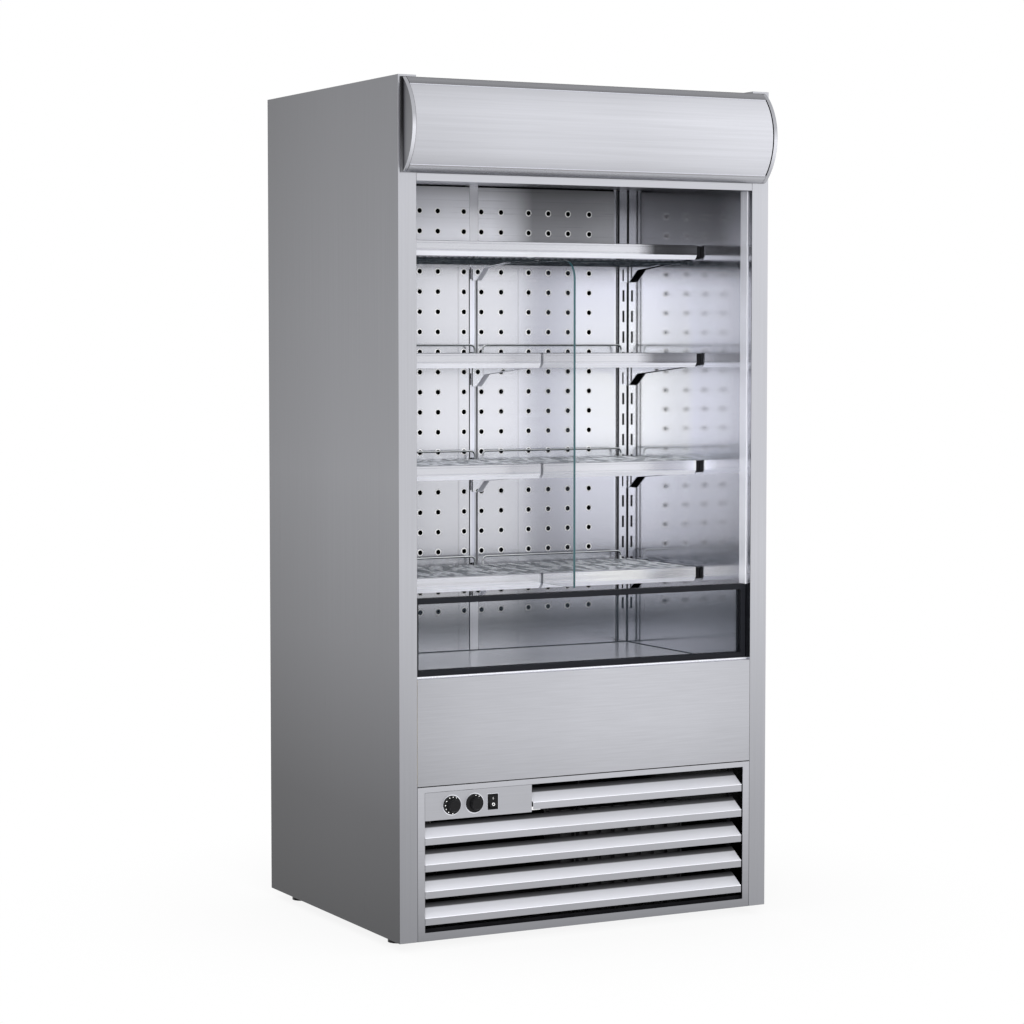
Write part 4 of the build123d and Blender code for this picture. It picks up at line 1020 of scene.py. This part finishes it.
def rectangle(x, z, half_x, half_z):
    """The outline of a square-edged mark or ring."""
    return squared(x - half_x, z - half_z, x + half_x, z + half_z)


def raised(name, outer, at, thick, inner=None):
    """A flat mark or hoop from its outlines. at(u, v, lift) is a place on the face that carries it."""
    loops = [(outer, 0), (outer, thick)] + ([(inner, thick), (inner, 0)] if inner else [])
    points = [at(u, v, lift) for loop, lift in loops for u, v in loop]
    count, faces = len(outer), []
    for i in range(len(loops) if inner else 1):
        for k in range(count):
            n = (k + 1) % count
            a, b = i * count, (i + 1) % len(loops) * count
            faces.append((a + k, a + n, b + n, b + k))
    if not inner:
        faces += [tuple(range(count)), tuple(range(count, 2 * count))]
    return mesh_piece(name, points, faces)


def printed(piece, body, finish):
    """A small mark that rides on a body."""
    finish.cover(piece)
    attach(piece, body)


panel_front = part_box("control_panel")[0].y


def on_panel(u, v, lift):
    """A place on the panel's face, or in front of it."""
    return (u, panel_front - lift, v)


def control_ring(name, outer, inner):
    """A bright ring on the panel round a control."""
    printed(raised(name, outer, on_panel, ring_thick, inner), "cabinet", ring_steel)


for node, angles in dot_angles.items():
    low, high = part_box(node)
    centre = Vector(((low.x + high.x) / 2, 0, (low.z + high.z) / 2))
    front, skirt = low.y, low.y + skirt_down
    profile = [
        (0.008, front + 0.0006), (0.0118, front + 0.0002), (grip_radius - 0.0006, front + 0.0016),
        (grip_radius, front + 0.0035), (grip_radius + 0.0006, skirt - 0.0015), (grip_radius + 0.0014, skirt),
        (skirt_radius - 0.0016, skirt + 0.0004), (skirt_radius - 0.0004, skirt + 0.0012),
        (skirt_radius, skirt + 0.0028), (skirt_radius, skirt + 0.005),
        (0.003, skirt + 0.005), (0.003, high.y),
    ]
    knob = turned(node + "_turned", profile, centre, 96, grip_ribs, rib_deep, (2, 6))
    black_mould.cover(dress(knob, node))
    for i, angle in enumerate(angles):
        turn = math.radians(90 + angle)
        at = centre + Vector((dot_reach * math.cos(turn), 0, dot_reach * math.sin(turn)))
        profile = [(dot_radius, skirt - dot_proud), (dot_radius, skirt + dot_sunk)]
        printed(turned(f"{node}_dot_{i}", profile, at, 16), node, print_white)
    inner = skirt_radius + ring_gap
    rings = [circle(centre.x, centre.z, radius) for radius in (inner + ring_wide, inner)]
    control_ring(node + "_bezel", *rings)

rocker = softened("switch_rocker", 0.0006)
black_mould.cover(rocker)
low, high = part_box("switch_rocker")
x, z = (low.x + high.x) / 2, (low.z + high.z) / 2
rings = [rectangle(x, z, switch_half_x + wide, switch_half_z + wide) for wide in (switch_ring, 0)]
control_ring("switch_bezel", *rings)
lower_face = max((f for f in rocker.data.polygons if -0.99 < f.normal.y < -0.9), key=lambda f: f.area)
slope = Vector((1, 0, 0)).cross(lower_face.normal) * -1
upper_middle = Vector((x, low.y + mark_in, z + mark_up))
lower_middle = Vector((x, lower_face.center.y, lower_face.center.z))


def on_upper(u, v, lift):
    """A place on the rocker's upper half, which stands upright."""
    return upper_middle + Vector((u, -lift, v))


def on_lower(u, v, lift):
    """A place on the rocker's lower half, which slants."""
    return lower_middle + Vector((u, 0, 0)) + v * slope + lift * lower_face.normal


mark = raised("switch_mark_on", rectangle(0, 0, line_half_x, line_half_z), on_upper, mark_thick)
printed(mark, "switch_rocker", print_white)
zero = [circle(0, 0, radius) for radius in (zero_outer, zero_inner)]
printed(raised("switch_mark_off", zero[0], on_lower, zero_thick, zero[1]), "switch_rocker", print_white)


# Refrigeration: a black enamelled compressor and fan shroud, coils of close aluminium fins, and moulded fans
# and drain pan. The condenser's fins are painted black, which also stands for the shade behind the grille.
# All are bolted to the base or in the well.

enamel = Finish("black_enamel", roughness=0.28, coat_weight=0.3)
peel = enamel.mottle((260, 260, 260), (0.012, 0.012, 0.013), (0.026, 0.026, 0.028))
enamel.relief(peel, 0.3, 0.0002)
for node in ("compressor", "condenser_fan_frame"):
    enamel.cover(softened(node, 0.001))
fins = Finish("fin_aluminium", metallic=1.0)
ribs = fins.add("TexWave", {"bands_direction": "X"}, {"Vector": fins.spot, "Scale": 120})
fins.vary(base_color=fins.mix(ribs, (0.3, 0.3, 0.31), (0.72, 0.72, 0.72)), roughness=ribs * 0.2 + 0.3)
fins.cover(softened("evaporator", 0.0004))
black_fins = Finish("black_fins", roughness=0.5)
black_ribs = black_fins.add("TexWave", {"bands_direction": "X"}, {"Vector": black_fins.spot, "Scale": 120})
black_fins.vary(base_color=black_fins.mix(black_ribs, (0.004, 0.004, 0.005), (0.03, 0.03, 0.032)))
black_fins.cover(softened("condenser", 0.0004))
fan_mould = Finish("fan_mould", roughness=0.5)
fan_mould.mottle((70, 70, 70), (0.01, 0.01, 0.01), (0.04, 0.04, 0.04), 3)
for node in ("condenser_fan", "evaporator_fan_left", "evaporator_fan_right"):
    fan_mould.cover(softened(node, 0.0004))
zinc.cover(softened("evaporator_fan_frames", 0.0004))
fan_mould.cover(softened("drain_pan", 0.0006))


# Feet: black levelling feet, moulded round a threaded stud. The stud turns in the base tray, to set the
# fridge level.

for end in ("front_left", "front_right", "rear_left", "rear_right"):
    black_mould.cover(softened(f"foot_{end}", 0.0008))
